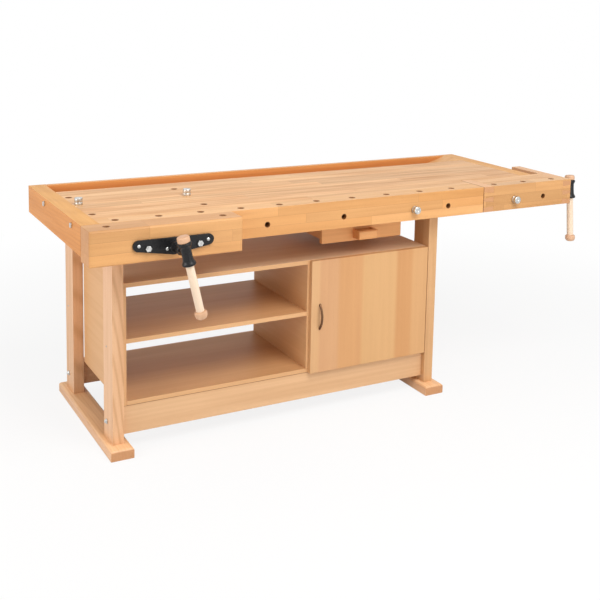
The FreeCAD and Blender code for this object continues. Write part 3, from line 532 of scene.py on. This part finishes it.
def make_finishes(wood, metal):
    """Every finish on the bench, by name."""
    low, high, _ = ends("cupboard_door")
    leaves = (low.x, (high.x - low.x) / MM, (
        (36, (1.0, 1.0, 1.0)), (122, (0.95, 0.89, 0.90)), (230, (0.95, 0.85, 0.74)),
        (390, (0.99, 0.98, 0.90)), (465, (0.92, 0.80, 0.66)), (539, (0.97, 0.92, 0.84))))
    # the gains for faces that look up paint light and shade on the tops
    FINISH.update({
        "top": beech("beech_worktop", wood.top, "x", (0.062, 0.30), 1.15, tone=0.11, streak=0.75, seed=4.0,
                     depth=1.7),
        "strip": beech("beech_beam", wood.apron, "x", (0.30, 0.0358), 0.62, tone=0.10, streak=0.4, seed=7.0,
                       offset=(0.5, 0.9525), seam=0.55, painted_top_shading=(1.12, 1.26, 1.50), vary=(0.95, 0.86, 0.70)),
        "jaw": beech("beech_jaw", wood.apron, "x", (0.30, 0.0413), 0.36, tone=0.09, streak=0.4, seed=11.0,
                     offset=(0.5, 0.148), seam=0.55, end_grain=0.55, painted_top_shading=(0.93, 0.90, 0.88)),
        "tail_board": beech("beech_tail_board", rgba(wood.apron, 0.88), "x", (0.30, 0.0413), 0.44, tone=0.09,
                            streak=0.4, seed=19.0, offset=(0.5, 0.148), seam=0.45, painted_top_shading=(1.08, 1.20, 1.40)),
        "pins": beech("beech_pins", wood.frame, "y", streak=0.4, seed=21.0, end_grain=0.75,
                      painted_top_shading=(1.0, 0.95, 0.85)),
        "cap": beech("beech_end_cap", wood.cap, "y", streak=0.45, rings=0.22, spacing=0.014, seed=2.0,
                     pith=(0.4, 1.2), end_grain=0.55, painted_top_shading=(1.13, 1.42, 2.2)),
        # the back rail: painted shade at its foot in the tray, painted light and shade on its top
        "rail": beech("beech_back_rail", wood.rail, "x", streak=0.6, rings=0.20, spacing=0.012, seed=5.0,
                      pith=(-0.4, -0.7), slope=0.02, painted_top_shading=(1.10, 1.35, 1.8), foot=(0.834, 0.858)),
        "ramp": beech("beech_ramp", wood.apron, "x", streak=0.5, seed=16.0, painted_top_shading=(1.06, 1.12, 1.2)),
        "tray": veneer("beech_tray", wood.top, "x", 0.2, seed=6.0),
        "leg": beech("beech_legs", wood.frame, "z", streak=0.4, rings=0.55, spacing=0.013, seed=3.0,
                     pith=(1.02, 0.235), slope=0.01, tilt=0.09, rough=0.4),
        "leg_plain": beech("beech_plain_legs", rgba(wood.board, 0.93), "z", streak=0.4, rings=0.08,
                           spacing=0.016, seed=6.0, pith=(0.4, 0.9), slope=0.03, rough=0.4),
        "foot": beech("beech_feet", wood.frame, "y", streak=0.5, rings=0.22, spacing=0.012, seed=8.0,
                      end_grain=0.75, painted_top_shading=(1.16, 1.22, 1.20)),
        "stretcher": beech("beech_stretchers", wood.frame, "x", streak=0.5, rings=0.25, spacing=0.013,
                           seed=9.0),
        "board_x": veneer("board_lengthwise", wood.board, "x", 0.22, seed=2.0, grain=0.15,
                          painted_top_shading=(0.84, 0.80, 0.76)),
        "board_top": veneer("board_cabinet_top", wood.board, "x", 0.22, seed=5.0, grain=0.15,
                            painted_top_shading=(1.12, 1.36, 1.80)),
        "board_y": veneer("board_sides", wood.board, "y", 0.2, seed=5.0, cloud=0.25, band=0.05, grain=0.18),
        "plinth": veneer("board_plinth", wood.plinth, "x", 0.3, seed=9.0, cloud=0.5),
        "door": veneer("board_door", rgba(wood.board, 0.91), "z", 0.135, seed=4.0, band=0.0, cloud=0.2,
                       grain=0.12, leaves=leaves),
        "drawer": veneer("board_drawer", wood.drawer, "x", 0.2, seed=7.0),
        "pull": beech("beech_pull", wood.drawer, "x", streak=0.5, seed=12.0, painted_top_shading=(1.2, 1.4, 1.8)),
        "knob": beech("beech_knob", wood.knob, "z", streak=0.35, seed=15.0, rough=0.34, end_grain=0.35),
        "zinc": plated("zinc_plate", metal.zinc),
        "steel": plated("turned_steel", metal.steel, 0.28, 0.8),
        "iron": enamel("black_enamel", metal.iron),
        "bronze": burnished("burnished_bronze", metal.bronze),
    })
    for vise, seed in (("front", 13.0), ("tail", 14.0)):
        turn = handle_place(vise).to_3x3().inverted().to_euler()
        FINISH[vise + "_bar"] = beech("beech_" + vise + "_bar", wood.turned, "z", streak=0.3, seed=seed,
                                      rough=0.36, turn=tuple(turn), centre=tuple(HUB[vise]))


# ------------------------------------------------------------------ mesh helpers
def add_object(name, mesh):
    """A new object in the scene."""
    made = bpy.data.objects.new(name, mesh)
    bpy.context.scene.collection.objects.link(made)
    return made


def baked(made):
    """Turns the object's modifiers into plain mesh."""
    graph = bpy.context.evaluated_depsgraph_get()
    mesh = bpy.data.meshes.new_from_object(made.evaluated_get(graph))
    made.modifiers.clear()
    old = made.data
    made.data = mesh
    bpy.data.meshes.remove(old)
    return made


def smooth_by_angle(mesh, degrees=34.0):
    """Smooth shading, with the edges that bend more than the angle kept sharp."""
    mesh.polygons.foreach_set("use_smooth", [True] * len(mesh.polygons))
    mesh.set_sharp_from_angle(angle=math.radians(degrees))


def ease(made, width, weighted=False):
    """Rounds the sharp edges, or those that have a weight, and keeps the flats flat."""
    if width > 0:
        bevel = made.modifiers.new("eased edges", "BEVEL")
        bevel.width = width
        bevel.segments = 2
        bevel.limit_method = "WEIGHT" if weighted else "ANGLE"
        bevel.angle_limit = SHARP
        bevel.harden_normals = True
        bevel.use_clamp_overlap = not weighted
    smooth_by_angle(made.data)
    return baked(made)


def settle(made, node, finish, body=None, hides=()):
    """Gives a finished piece its material, its body and the CAD nodes it stands for."""
    made.data.materials.clear()
    made.data.materials.append(FINISH[finish])
    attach(made, body or BODY_OF[node])
    if hides:
        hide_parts(*hides)


def worked(node, finish, width):
    """The node's own shape with its edges eased, in place of the node."""
    mesh = frame["nodes"][node].data.copy()
    mesh.materials.clear()
    work = bmesh.new()
    work.from_mesh(mesh)
    bmesh.ops.remove_doubles(work, verts=work.verts, dist=0.00001)
    bmesh.ops.dissolve_limit(work, angle_limit=math.radians(0.6), verts=work.verts, edges=work.edges)
    work.to_mesh(mesh)
    work.free()
    if finish in METALS:
        made = ease(add_object(node + "_metal", mesh), width)
    else:
        rimmed = weigh_rims(mesh, width)
        made = ease(add_object(node + "_wood", mesh), RIM if rimmed else width, rimmed)
        mark_shade(made.data)
    settle(made, node, finish, hides=(node,))


def near_hole(point, reach, upright=False):
    """The number of the axis of a dog hole within reach of a point, or None. upright: top holes alone."""
    for centre, axis in HOLES:
        away = [(point - centre)[k] for k in range(3) if k != axis]
        if math.hypot(*away) < reach and (axis == 2 or not upright):
            return axis
    return None


def weigh_rims(mesh, width):
    """Weighs the sharp edges for a bevel as wide as a countersink, and tells whether a hole has one."""
    work = bmesh.new()
    work.from_mesh(mesh)
    layer = work.edges.layers.float.new("bevel_weight_edge")
    top = max(vert.co.z for vert in work.verts)
    found = False
    for edge in work.edges:
        if len(edge.link_faces) == 2 and edge.calc_face_angle() > SHARP:
            middle = (edge.verts[0].co + edge.verts[1].co) / 2
            upper = all(vert.co.z > top - FLUSH for vert in edge.verts)
            rim = upper and near_hole(middle, BORE_REACH, True) is not None
            edge[layer] = 1.0 if rim else width / RIM
            found = found or rim
    if found:
        work.to_mesh(mesh)
    work.free()
    return found


def mark_shade(mesh):
    """Marks painted shade on dog-hole walls and on eased edges where two parts meet in a shadow line."""
    shade = {}
    for face in mesh.polygons:
        spot, normal = face.center, face.normal
        axis = near_hole(spot, RIM_REACH)
        if axis is not None and abs(normal[axis]) < SQUARE and (axis == 2 or near_hole(spot, WALL_REACH)):
            shade[face.index] = 1.0
        for axis, place, reach, depth in SHADOW_LINES:
            if abs(spot[axis] - place) < reach and abs(normal[axis]) > 0.2:
                shade[face.index] = depth
    if shade:
        layer = mesh.attributes.new("shade", "FLOAT", "FACE")
        for k, value in shade.items():
            layer.data[k].value = value


def lathe(name, profile, place, segments=56):
    """Turns a profile of (radius, height) in millimetres about Z and puts it at place."""
    work = bmesh.new()
    verts = [work.verts.new((r * MM, 0, z * MM)) for r, z in profile]
    edges = [work.edges.new(pair) for pair in zip(verts, verts[1:])]
    bmesh.ops.spin(work, geom=verts + edges, angle=2 * math.pi, steps=segments, axis=(0, 0, 1),
                   cent=(0, 0, 0))
    bmesh.ops.remove_doubles(work, verts=work.verts, dist=0.000005)
    bmesh.ops.recalc_face_normals(work, faces=work.faces)
    mesh = bpy.data.meshes.new(name)
    work.to_mesh(mesh)
    work.free()
    mesh.transform(place)
    smooth_by_angle(mesh, 40)
    return add_object(name, mesh)


def rounded(points, radius, steps=3):
    """Rounds a profile's corners, apart from its two ends."""
    out = [points[0]]
    for before, here, after in zip(points, points[1:], points[2:]):
        a, b, c = (Vector((*p, 0)) for p in (before, here, after))
        one, two = a - b, c - b
        reach = min(radius, one.length * 0.45, two.length * 0.45)
        start, end = b + one.normalized() * reach, b + two.normalized() * reach
        for k in range(steps + 1):
            f = k / steps
            p = start * (1 - f) ** 2 + b * (2 * f * (1 - f)) + end * f ** 2
            out.append((max(0.0, p.x), p.y))
    out.append(points[-1])
    return out


# ------------------------------------------------------------------ geometry nodes
class Growth:
    """A geometry node tree under construction."""

    def __init__(self, name, sizes):
        self.tree = bpy.data.node_groups.new(name, "GeometryNodeTree")
        face = self.tree.interface
        face.new_socket("Geometry", in_out="INPUT", socket_type="NodeSocketGeometry")
        self.ids = {}
        for label, (kind, value) in sizes.items():
            socket = face.new_socket(label, in_out="INPUT", socket_type=kind)
            if value is not None:
                socket.default_value = value
            self.ids[label] = socket.identifier
        face.new_socket("Geometry", in_out="OUTPUT", socket_type="NodeSocketGeometry")
        self.inlet = self.tree.nodes.new("NodeGroupInput")
        self.outlet = self.tree.nodes.new("NodeGroupOutput")

    def size(self, label):
        """The tree's own input of that name."""
        return self.inlet.outputs[label]

    def node(self, kind, settings=None, values=None, out=0):
        """Adds a node: settings first, then its inputs, and returns one output."""
        made = self.tree.nodes.new(kind)
        for key, value in (settings or {}).items():
            setattr(made, key, value)
        for key, value in (values or {}).items():
            if isinstance(value, bpy.types.NodeSocket):
                self.tree.links.new(value, made.inputs[key])
            else:
                made.inputs[key].default_value = value
        return made.outputs[out]

    def close(self, geometry):
        """Ends the tree in real geometry with its material."""
        real = self.node("GeometryNodeRealizeInstances", None, {0: geometry})
        painted = self.node("GeometryNodeSetMaterial", None, {0: real, "Material": self.size("Material")})
        self.tree.links.new(painted, self.outlet.inputs[0])

    def run(self, name, mesh, **values):
        """Grows the tree on a mesh and returns a plain mesh object."""
        made = add_object(name, mesh)
        modifier = made.modifiers.new("growth", "NODES")
        modifier.node_group = self.tree
        for label, value in values.items():
            modifier[self.ids[label.replace("_", " ").capitalize()]] = value
        return baked(made)


def thread_tree():
    """A screw thread: a rounded square profile along a spiral that climbs by the lead each turn."""
    grow = Growth("screw thread", {
        "Turns": ("NodeSocketFloat", 10.0), "Height": ("NodeSocketFloat", 0.06),
        "Radius": ("NodeSocketFloat", 0.0127), "Crest": ("NodeSocketFloat", 0.0026),
        "Width": ("NodeSocketFloat", 0.003), "Place": ("NodeSocketVector", (0, 0, 0)),
        "Turn": ("NodeSocketVector", (0, 0, 0)), "Material": ("NodeSocketMaterial", None)})
    spiral = grow.node("GeometryNodeCurveSpiral", None, {
        "Resolution": 28, "Rotations": grow.size("Turns"), "Start Radius": grow.size("Radius"),
        "End Radius": grow.size("Radius"), "Height": grow.size("Height")})
    profile = grow.node("GeometryNodeCurvePrimitiveQuadrilateral", {"mode": "TRAPEZOID"}, {
        "Height": grow.size("Crest"), "Bottom Width": grow.size("Width"), "Top Width": 0.0016, "Offset": 0.0})
    ribbon = grow.node("GeometryNodeCurveToMesh", None,
                       {"Curve": spiral, "Profile Curve": profile, "Fill Caps": True})
    grow.close(grow.node("GeometryNodeTransform", None, {
        "Geometry": ribbon, "Translation": grow.size("Place"), "Rotation": grow.size("Turn")}))
    return grow


def heads_tree():
    """The same fixing at every vertex of a mesh, standing along the vertex's own direction."""
    grow = Growth("fixings on points", {
        "Pattern": ("NodeSocketObject", None), "Seed": ("NodeSocketInt", 7),
        "Material": ("NodeSocketMaterial", None)})
    shape = grow.node("GeometryNodeObjectInfo", None, {"Object": grow.size("Pattern")}, "Geometry")
    out = grow.node("GeometryNodeInputNamedAttribute", {"data_type": "FLOAT_VECTOR"}, {"Name": "out"})
    face = grow.node("FunctionNodeAlignRotationToVector", {"axis": "Z"}, {"Vector": out})
    spin = grow.node("FunctionNodeRandomValue", {"data_type": "FLOAT"},
                     {2: 0.0, 3: 6.283, "Seed": grow.size("Seed")}, out=1)
    twist = grow.node("FunctionNodeAxisAngleToRotation", None, {"Axis": (0, 0, 1), "Angle": spin})
    turned = grow.node("FunctionNodeRotateRotation", {"rotation_space": "LOCAL"},
                       {"Rotation": face, "Rotate By": twist})
    grow.close(grow.node("GeometryNodeInstanceOnPoints", None, {
        "Points": grow.inlet.outputs["Geometry"], "Instance": shape, "Rotation": turned}))
    return grow


def bow_tree():
    """A round bar bent to an arc through three points."""
    grow = Growth("bent bar", {
        "Start": ("NodeSocketVector", (0, 0, 0)), "Middle": ("NodeSocketVector", (0, -0.02, 0.05)),
        "End": ("NodeSocketVector", (0, 0, 0.1)), "Radius": ("NodeSocketFloat", 0.004),
        "Material": ("NodeSocketMaterial", None)})
    spots = {label: grow.size(label) for label in ("Start", "Middle", "End")}
    arc = grow.node("GeometryNodeCurveArc", {"mode": "POINTS"}, {"Resolution": 40, **spots})
    ring = grow.node("GeometryNodeCurvePrimitiveCircle", {"mode": "RADIUS"},
                     {"Resolution": 20, "Radius": grow.size("Radius")})
    grow.close(grow.node("GeometryNodeCurveToMesh", None,
                         {"Curve": arc, "Profile Curve": ring, "Fill Caps": True}))
    return grow


def points_mesh(name, points, out):
    """Loose vertices that all carry the direction out."""
    mesh = bpy.data.meshes.new(name)
    mesh.from_pydata([tuple(p) for p in points], [], [])
    layer = mesh.attributes.new("out", "FLOAT_VECTOR", "POINT")
    layer.data.foreach_set("vector", [c for _ in points for c in out])
    return mesh


def pan_head(name, radius, height):
    """A small domed screw head with a cross recess."""
    dome = [(0, height * 0.98), (radius * 0.55, height), (radius * 0.93, height * 0.45), (radius, 0), (0, 0)]
    made = lathe(name, rounded(dome, radius * 0.35), Matrix())
    tool = bpy.data.meshes.new(name + "_cross")
    work = bmesh.new()
    for wide, deep in ((1.0, 0.26), (0.26, 1.0)):
        arm = bmesh.ops.create_cube(work, size=1.0)["verts"]
        bmesh.ops.scale(work, vec=(radius * wide * MM, radius * deep * MM, height * 1.1 * MM), verts=arm)
        bmesh.ops.translate(work, vec=(0, 0, height * MM * 1.02), verts=arm)
    work.to_mesh(tool)
    work.free()
    cutter = add_object(name + "_cutter", tool)
    cut = made.modifiers.new("recess", "BOOLEAN")
    cut.object = cutter
    cut.solver = "EXACT"
    cut.use_self = True
    baked(made)
    bpy.data.objects.remove(cutter)
    smooth_by_angle(made.data, 30)
    return made


def merged(name, objects):
    """Joins loose pieces into one mesh object."""
    work = bmesh.new()
    for made in objects:
        work.from_mesh(made.data)
    mesh = bpy.data.meshes.new(name)
    work.to_mesh(mesh)
    work.free()
    for made in objects:
        bpy.data.objects.remove(made)
    smooth_by_angle(mesh)
    return add_object(name, mesh)


def fixings(name, pattern, points, out, finish, body):
    """Repeats a fixing at the points, standing along out, with Geometry Nodes."""
    made = heads_tree().run(name, points_mesh(name, points, out), pattern=pattern, material=FINISH[finish])
    smooth_by_angle(made.data)
    settle(made, name, finish, body)


# ------------------------------------------------------------------ operators
class DressTop(bpy.types.Operator):
    """Worktop, front beam, back rail, tray, ramp and end caps"""
    bl_idname = "bench.dress_top"
    bl_label = "Top"

    def execute(self, context):
        wood = context.scene.bench_wood
        for node, finish in (("worktop_slab", "top"), ("front_beam", "strip"), ("back_rail", "rail"),
                             ("tray_bottom", "tray"), ("tray_ramp", "ramp"), ("left_end_cap", "cap"),
                             ("right_end_cap", "cap")):
            worked(node, finish, wood.edge)
        return {"FINISHED"}


class DressTrestles(bpy.types.Operator):
    """Feet, legs, top rails and stretchers"""
    bl_idname = "bench.dress_trestles"
    bl_label = "Trestles"

    def execute(self, context):
        width = context.scene.bench_wood.edge
        for side, finish in (("left", "leg"), ("right", "leg_plain")):
            worked(side + "_foot", "foot", width * 1.4)
            worked(side + "_top_rail", "foot", width)
            for where in ("front", "rear"):
                worked(side + "_" + where + "_leg", finish, width * 1.4)
        for where in ("front", "rear"):
            worked(where + "_stretcher", "stretcher", width)
        return {"FINISHED"}


class DressCabinet(bpy.types.Operator):
    """Cabinet boards and shelf"""
    bl_idname = "bench.dress_cabinet"
    bl_label = "Cabinet"

    def execute(self, context):
        width = context.scene.bench_wood.board_edge
        for node, finish in (("cabinet_top", "board_top"), ("cabinet_left_side", "board_y"),
                             ("cabinet_right_side", "board_y"), ("cabinet_bottom", "board_x"),
                             ("cabinet_plinth", "plinth"), ("cabinet_divider", "board_y"),
                             ("open_shelf", "board_x"), ("cupboard_back", "board_x")):
            worked(node, finish, width * (2 if node in ("cabinet_bottom", "cabinet_plinth") else 1))
        return {"FINISHED"}


class DressDoor(bpy.types.Operator):
    """Cupboard door with its handle and hinge cups"""
    bl_idname = "bench.dress_door"
    bl_label = "Door"

    def execute(self, context):
        worked("cupboard_door", "door", context.scene.bench_wood.board_edge)
        low, high, mid = ends("door_handle")
        foot = 4.9 * MM
        start, end = Vector((mid.x, high.y, low.z + foot)), Vector((mid.x, high.y, high.z - foot))
        blank = bpy.data.meshes.new("door_handle_bar")
        bar = bow_tree().run("door_handle_bar", blank, start=tuple(start), end=tuple(end), radius=4.2 * MM,
                             middle=(mid.x, low.y + 4.3 * MM, mid.z), material=FINISH["bronze"])
        disc = rounded([(0, 0.05), (4.8, 0.05), (4.8, 2), (0, 2.6)], 0.6)
        feet = [lathe("door_handle_foot", disc, Matrix.Translation(spot) @ FORWARD, 32)
                for spot in (start, end)]
        settle(merged("door_handle_bow", [bar, *feet]), "door_handle", "bronze", hides=("door_handle",))
        worked("cupboard_hinges", "zinc", METAL_EDGE)
        return {"FINISHED"}


class DressDrawer(bpy.types.Operator):
    """Drawer, its pull block and the hangers under the top"""
    bl_idname = "bench.dress_drawer"
    bl_label = "Drawer"

    def execute(self, context):
        wood = context.scene.bench_wood
        for node in ("drawer_front", "drawer_sides", "drawer_back", "drawer_bottom", "drawer_hangers"):
            worked(node, "drawer", wood.board_edge)
        worked("drawer_pull", "pull", wood.edge)
        return {"FINISHED"}


class DressVises(bpy.types.Operator):
    """Wooden jaws, castings, rods and nuts of both vises"""
    bl_idname = "bench.dress_vises"
    bl_label = "Vises"

    def execute(self, context):
        wood, metal = context.scene.bench_wood, context.scene.bench_metal
        for node, finish in (("front_vise_jaw", "jaw"), ("tail_vise_front_board", "tail_board"),
                             ("tail_vise_jaw_block", "pins"), ("tail_vise_end_block", "pins"),
                             ("tail_vise_cover", "top"), ("tail_vise_guide_block", "stretcher")):
            worked(node, finish, wood.edge * (1.2 if node == "front_vise_jaw" else 0.8))
        for node in ("front_vise_plate", "tail_vise_flange", "front_vise_nut_plate", "tail_vise_nut_plate"):
            worked(node, "iron", metal.ease)
        for node in ("front_vise_guide_rods", "tail_vise_guide_rod"):
            worked(node, "steel", METAL_EDGE)
        return {"FINISHED"}


class DressScrews(bpy.types.Operator):
    """Threaded screws of both vises"""
    bl_idname = "bench.dress_screws"
    bl_label = "Vise screws"

    def execute(self, context):
        metal = context.scene.bench_metal
        depth = metal.thread_depth / MM
        core = SHANK - depth
        tree = thread_tree()
        for vise, (place, tip, ring, shoulder) in SCREWS.items():
            smooth = ring - 8
            profile = [(0, tip), (core - 3, tip), (core, tip + 4), (core, smooth - 2), (SHANK, smooth),
                       (SHANK, ring), (20, ring), (20, ring + 9), (SHANK, ring + 9), (SHANK, shoulder),
                       (0, shoulder)]
            neck = [(0, shoulder), (20, shoulder), (20, shoulder + 12), (11, shoulder + 12), (11, -15),
                    (0, -15)]
            body = vise + "_screw"
            node = vise + "_vise_screw"
            settle(lathe(node + "_shaft", profile, place, 48), node, "steel", hides=(node,))
            settle(lathe(node + "_collar", rounded(neck, 1.2), place, 48), node, "iron", body)
            height = (smooth - tip - 8) * MM
            start = place @ Vector((0, 0, (tip + 4) * MM))
            thread = tree.run(node + "_thread", bpy.data.meshes.new(node + "_thread"),
                              turns=height / metal.lead, height=height, radius=(core + depth / 2 - 0.05) * MM,
                              crest=metal.thread_depth, width=metal.lead * 0.5, place=tuple(start),
                              turn=tuple(place.to_euler()), material=FINISH["steel"])
            smooth_by_angle(thread.data, 50)
            settle(thread, node, "steel", body=body)
        return {"FINISHED"}


class DressHandles(bpy.types.Operator):
    """Handle sleeves, bars and knobs"""
    bl_idname = "bench.dress_handles"
    bl_label = "Vise handles"

    def execute(self, context):
        for vise in HUB:
            place = handle_place(vise)
            wall = [(14.05, -40), (20.8, -40), (23.4, -38), (23.4, -31.5), (21, -28), (18.3, -22.5),
                    (17.5, -11)]
            wall += [(r, -z) for r, z in reversed(wall)]
            sleeve = lathe(vise + "_sleeve", rounded(wall, 1.6) + [wall[0]], place, 64)
            throat = rounded([(15, 0), (15, 26), (17.5, 30), (11.2, 30), (11.2, 6)], 1.2) + [(15, 0)]
            inwards = Matrix.Translation((-0.0155, 0, 0)) @ Matrix.Rotation(-math.pi / 2, 4, "Y")
            neck = lathe(vise + "_neck", throat, place @ inwards, 48)
            hub = merged(vise + "_vise_hub_casting", [sleeve, neck])
            settle(hub, vise + "_vise_hub", "iron", hides=(vise + "_vise_hub",))
            rod = rounded([(0, -219), (14, -219), (14, 55), (0, 55)], 1.0)
            bar = lathe(vise + "_handle_bar_turned", rod, place, 48)
            settle(bar, vise + "_handle_bar", vise + "_bar", hides=(vise + "_handle_bar",))
            upper = rounded([(0, 40), (19, 40), (21.5, 43), (21.5, 56), (19.5, 60), (14.5, 62), (0, 62)], 2.5)
            lower = rounded([(0, -233), (12, -233), (18, -229.5), (21.5, -222), (21.5, -211), (20, -206.5),
                             (16, -205), (0, -205)], 3.0)
            knobs = merged(vise + "_handle_knobs_turned", [lathe(vise + "_top", upper, place, 48),
                                                           lathe(vise + "_low", lower, place, 48)])
            settle(knobs, vise + "_handle_knobs", "knob", hides=(vise + "_handle_knobs",))
        return {"FINISHED"}


class DressDogs(bpy.types.Operator):
    """Round bench dogs"""
    bl_idname = "bench.dress_dogs"
    bl_label = "Bench dogs"

    def execute(self, context):
        for node in ("left_top_dog", "right_top_dog", "beam_side_dog", "tail_side_dog"):
            place, depth = dog_place(node)
            profile = [(0, -depth), (8.6, -depth), (9.5, -depth + 1), (9.5, 0), (14.2, 0), (15, 0.8), (15, 9),
                       (14.2, 9.7), (14.2, 10.8), (15, 11.5), (15, 24.4), (13.4, HEAD), (5, HEAD),
                       (3.8, 24.8), (0, 24.8)]
            made = lathe(node + "_turned", rounded(profile, 0.35, 2), place, 48)
            settle(made, node, "zinc", hides=(node,))
        return {"FINISHED"}


class DressFixings(bpy.types.Operator):
    """Bolts, nuts and wood screws"""
    bl_idname = "bench.dress_fixings"
    bl_label = "Fixings"

    def execute(self, context):
        worked("frame_bolts", "zinc", BOLT_EDGE)
        worked("front_vise_bolts", "zinc", BOLT_EDGE)
        pan = pan_head("pan_head", 3.6, 1.6)
        for side, sign in (("left", -1), ("right", 1)):
            spots = []
            for where in ("front", "rear"):
                low, high, mid = ends(side + "_" + where + "_leg")
                spots.append(((low if sign < 0 else high).x, mid.y + LEG_SCREW[0], LEG_SCREW[1]))
            fixings(side + "_leg_screws", pan, spots, (sign, 0, 0), "steel", "bench")
        bpy.data.objects.remove(pan)
        screw = pan_head("plate_screw_head", 6.2, 3.0)
        face = ends("front_vise_plate")[0].y + PLATE_BOSS
        spots = [(HUB["front"].x + x * MM, face, HUB["front"].z + z * MM) for x, z in PLATE_SCREWS]
        fixings("plate_screws", screw, spots, (0, -1, 0), "zinc", "front_jaw")
        bpy.data.objects.remove(screw)
        return {"FINISHED"}


class SetStage(bpy.types.Operator):
    """Floor, lights and camera"""
    bl_idname = "bench.set_stage"
    bl_label = "Stage"

    def execute(self, context):
        stage = context.scene.bench_stage
        scene = context.scene
        scene.view_settings.view_transform = "Standard"
        ground = Shade("studio_floor")
        ground.dress(rgba(stage.floor), 0.6, specular=0.1)
        glow = ground.node("ShaderNodeEmission", None, {"Color": WHITE, "Strength": 1.0})
        x, y, _ = ground.split(ground.place())
        far = (x * x + y * y).root().step(1.5, 3.2)
        ground.blend(ground.seen() * (far * 0.15 + 0.85), glow)
        mesh = bpy.data.meshes.new("floor")
        half = 30.0                    # metres of floor on each side
        mesh.from_pydata([(-half, -half, 0), (half, -half, 0), (half, half, 0), (-half, half, 0)], [],
                         [(0, 1, 2, 3)])
        floor = add_object("floor", mesh)
        floor.data.materials.append(ground.result)

        sky = Shade("studio", "worlds", "ShaderNodeBackground", "ShaderNodeOutputWorld")
        sky.join((1.0, 0.985, 0.96, 1.0), sky.skin.inputs["Color"])
        sky.join(stage.sky, sky.skin.inputs["Strength"])
        sky.blend(sky.seen(), sky.node("ShaderNodeBackground", None, {"Color": WHITE, "Strength": 1.0}))
        scene.world = sky.result

        for name, spot, aim, size, power in (
                ("key", (0.0, -2.4, 3.6), (0.3, 0.0, 0.6), 2.6, stage.key),
                ("fill", (1.0, -3.4, 1.2), (0.2, 0.0, 0.5), 2.2, stage.fill),
                ("left", (-3.6, -0.2, 1.6), (-0.4, 0.0, 0.5), 2.0, stage.side)):
            lamp = bpy.data.lights.new(name, "AREA")
            lamp.shape = "DISK"
            lamp.size = size
            lamp.energy = power
            made = bpy.data.objects.new(name, lamp)
            made.location = spot
            made.rotation_euler = (Vector(spot) - Vector(aim)).to_track_quat("Z", "Y").to_euler()
            scene.collection.objects.link(made)

        data = bpy.data.cameras.new("camera")
        data.lens = stage.lens
        data.sensor_width = 36.0
        data.shift_y = stage.shift
        data.clip_end = 200
        camera = bpy.data.objects.new("camera", data)
        turn = (Matrix.Rotation(-stage.yaw, 3, "Z") @ Matrix.Rotation(math.pi / 2 - stage.pitch, 3, "X")
                @ Matrix.Rotation(-stage.roll, 3, "Z"))
        camera.rotation_euler = turn.to_euler()
        camera.location = EYE
        scene.collection.objects.link(camera)
        scene.camera = camera
        return {"FINISHED"}


class BenchPanel(bpy.types.Panel):
    """Lists the steps that dress the workbench"""
    bl_label = "Workbench"
    bl_idname = "VIEW3D_PT_workbench"
    bl_space_type = "VIEW_3D"
    bl_region_type = "UI"
    bl_category = "Workbench"

    def draw(self, context):
        for group in (context.scene.bench_wood, context.scene.bench_metal, context.scene.bench_stage):
            box = self.layout.box()
            for key in group.__annotations__:
                box.prop(group, key)
        for step in STEPS:
            self.layout.operator(step.bl_idname)


STEPS = (DressTop, DressTrestles, DressCabinet, DressDoor, DressDrawer, DressVises, DressScrews, DressHandles,
         DressDogs, DressFixings, SetStage)
GROUPS = {"bench_wood": BenchWood, "bench_metal": BenchMetal, "bench_stage": BenchStage}

def register():
    for made in (*GROUPS.values(), *STEPS, BenchPanel):
        bpy.utils.register_class(made)
    for name, group in GROUPS.items():
        setattr(bpy.types.Scene, name, bpy.props.PointerProperty(type=group))


def unregister():
    for name in GROUPS:
        delattr(bpy.types.Scene, name)
    for made in (BenchPanel, *reversed(STEPS), *GROUPS.values()):
        bpy.utils.unregister_class(made)


def main():
    register()
    scene = bpy.context.scene
    make_finishes(scene.bench_wood, scene.bench_metal)
    for step in STEPS:
        group, name = step.bl_idname.split(".")
        getattr(getattr(bpy.ops, group), name)()


if __name__ == "__main__":
    main()
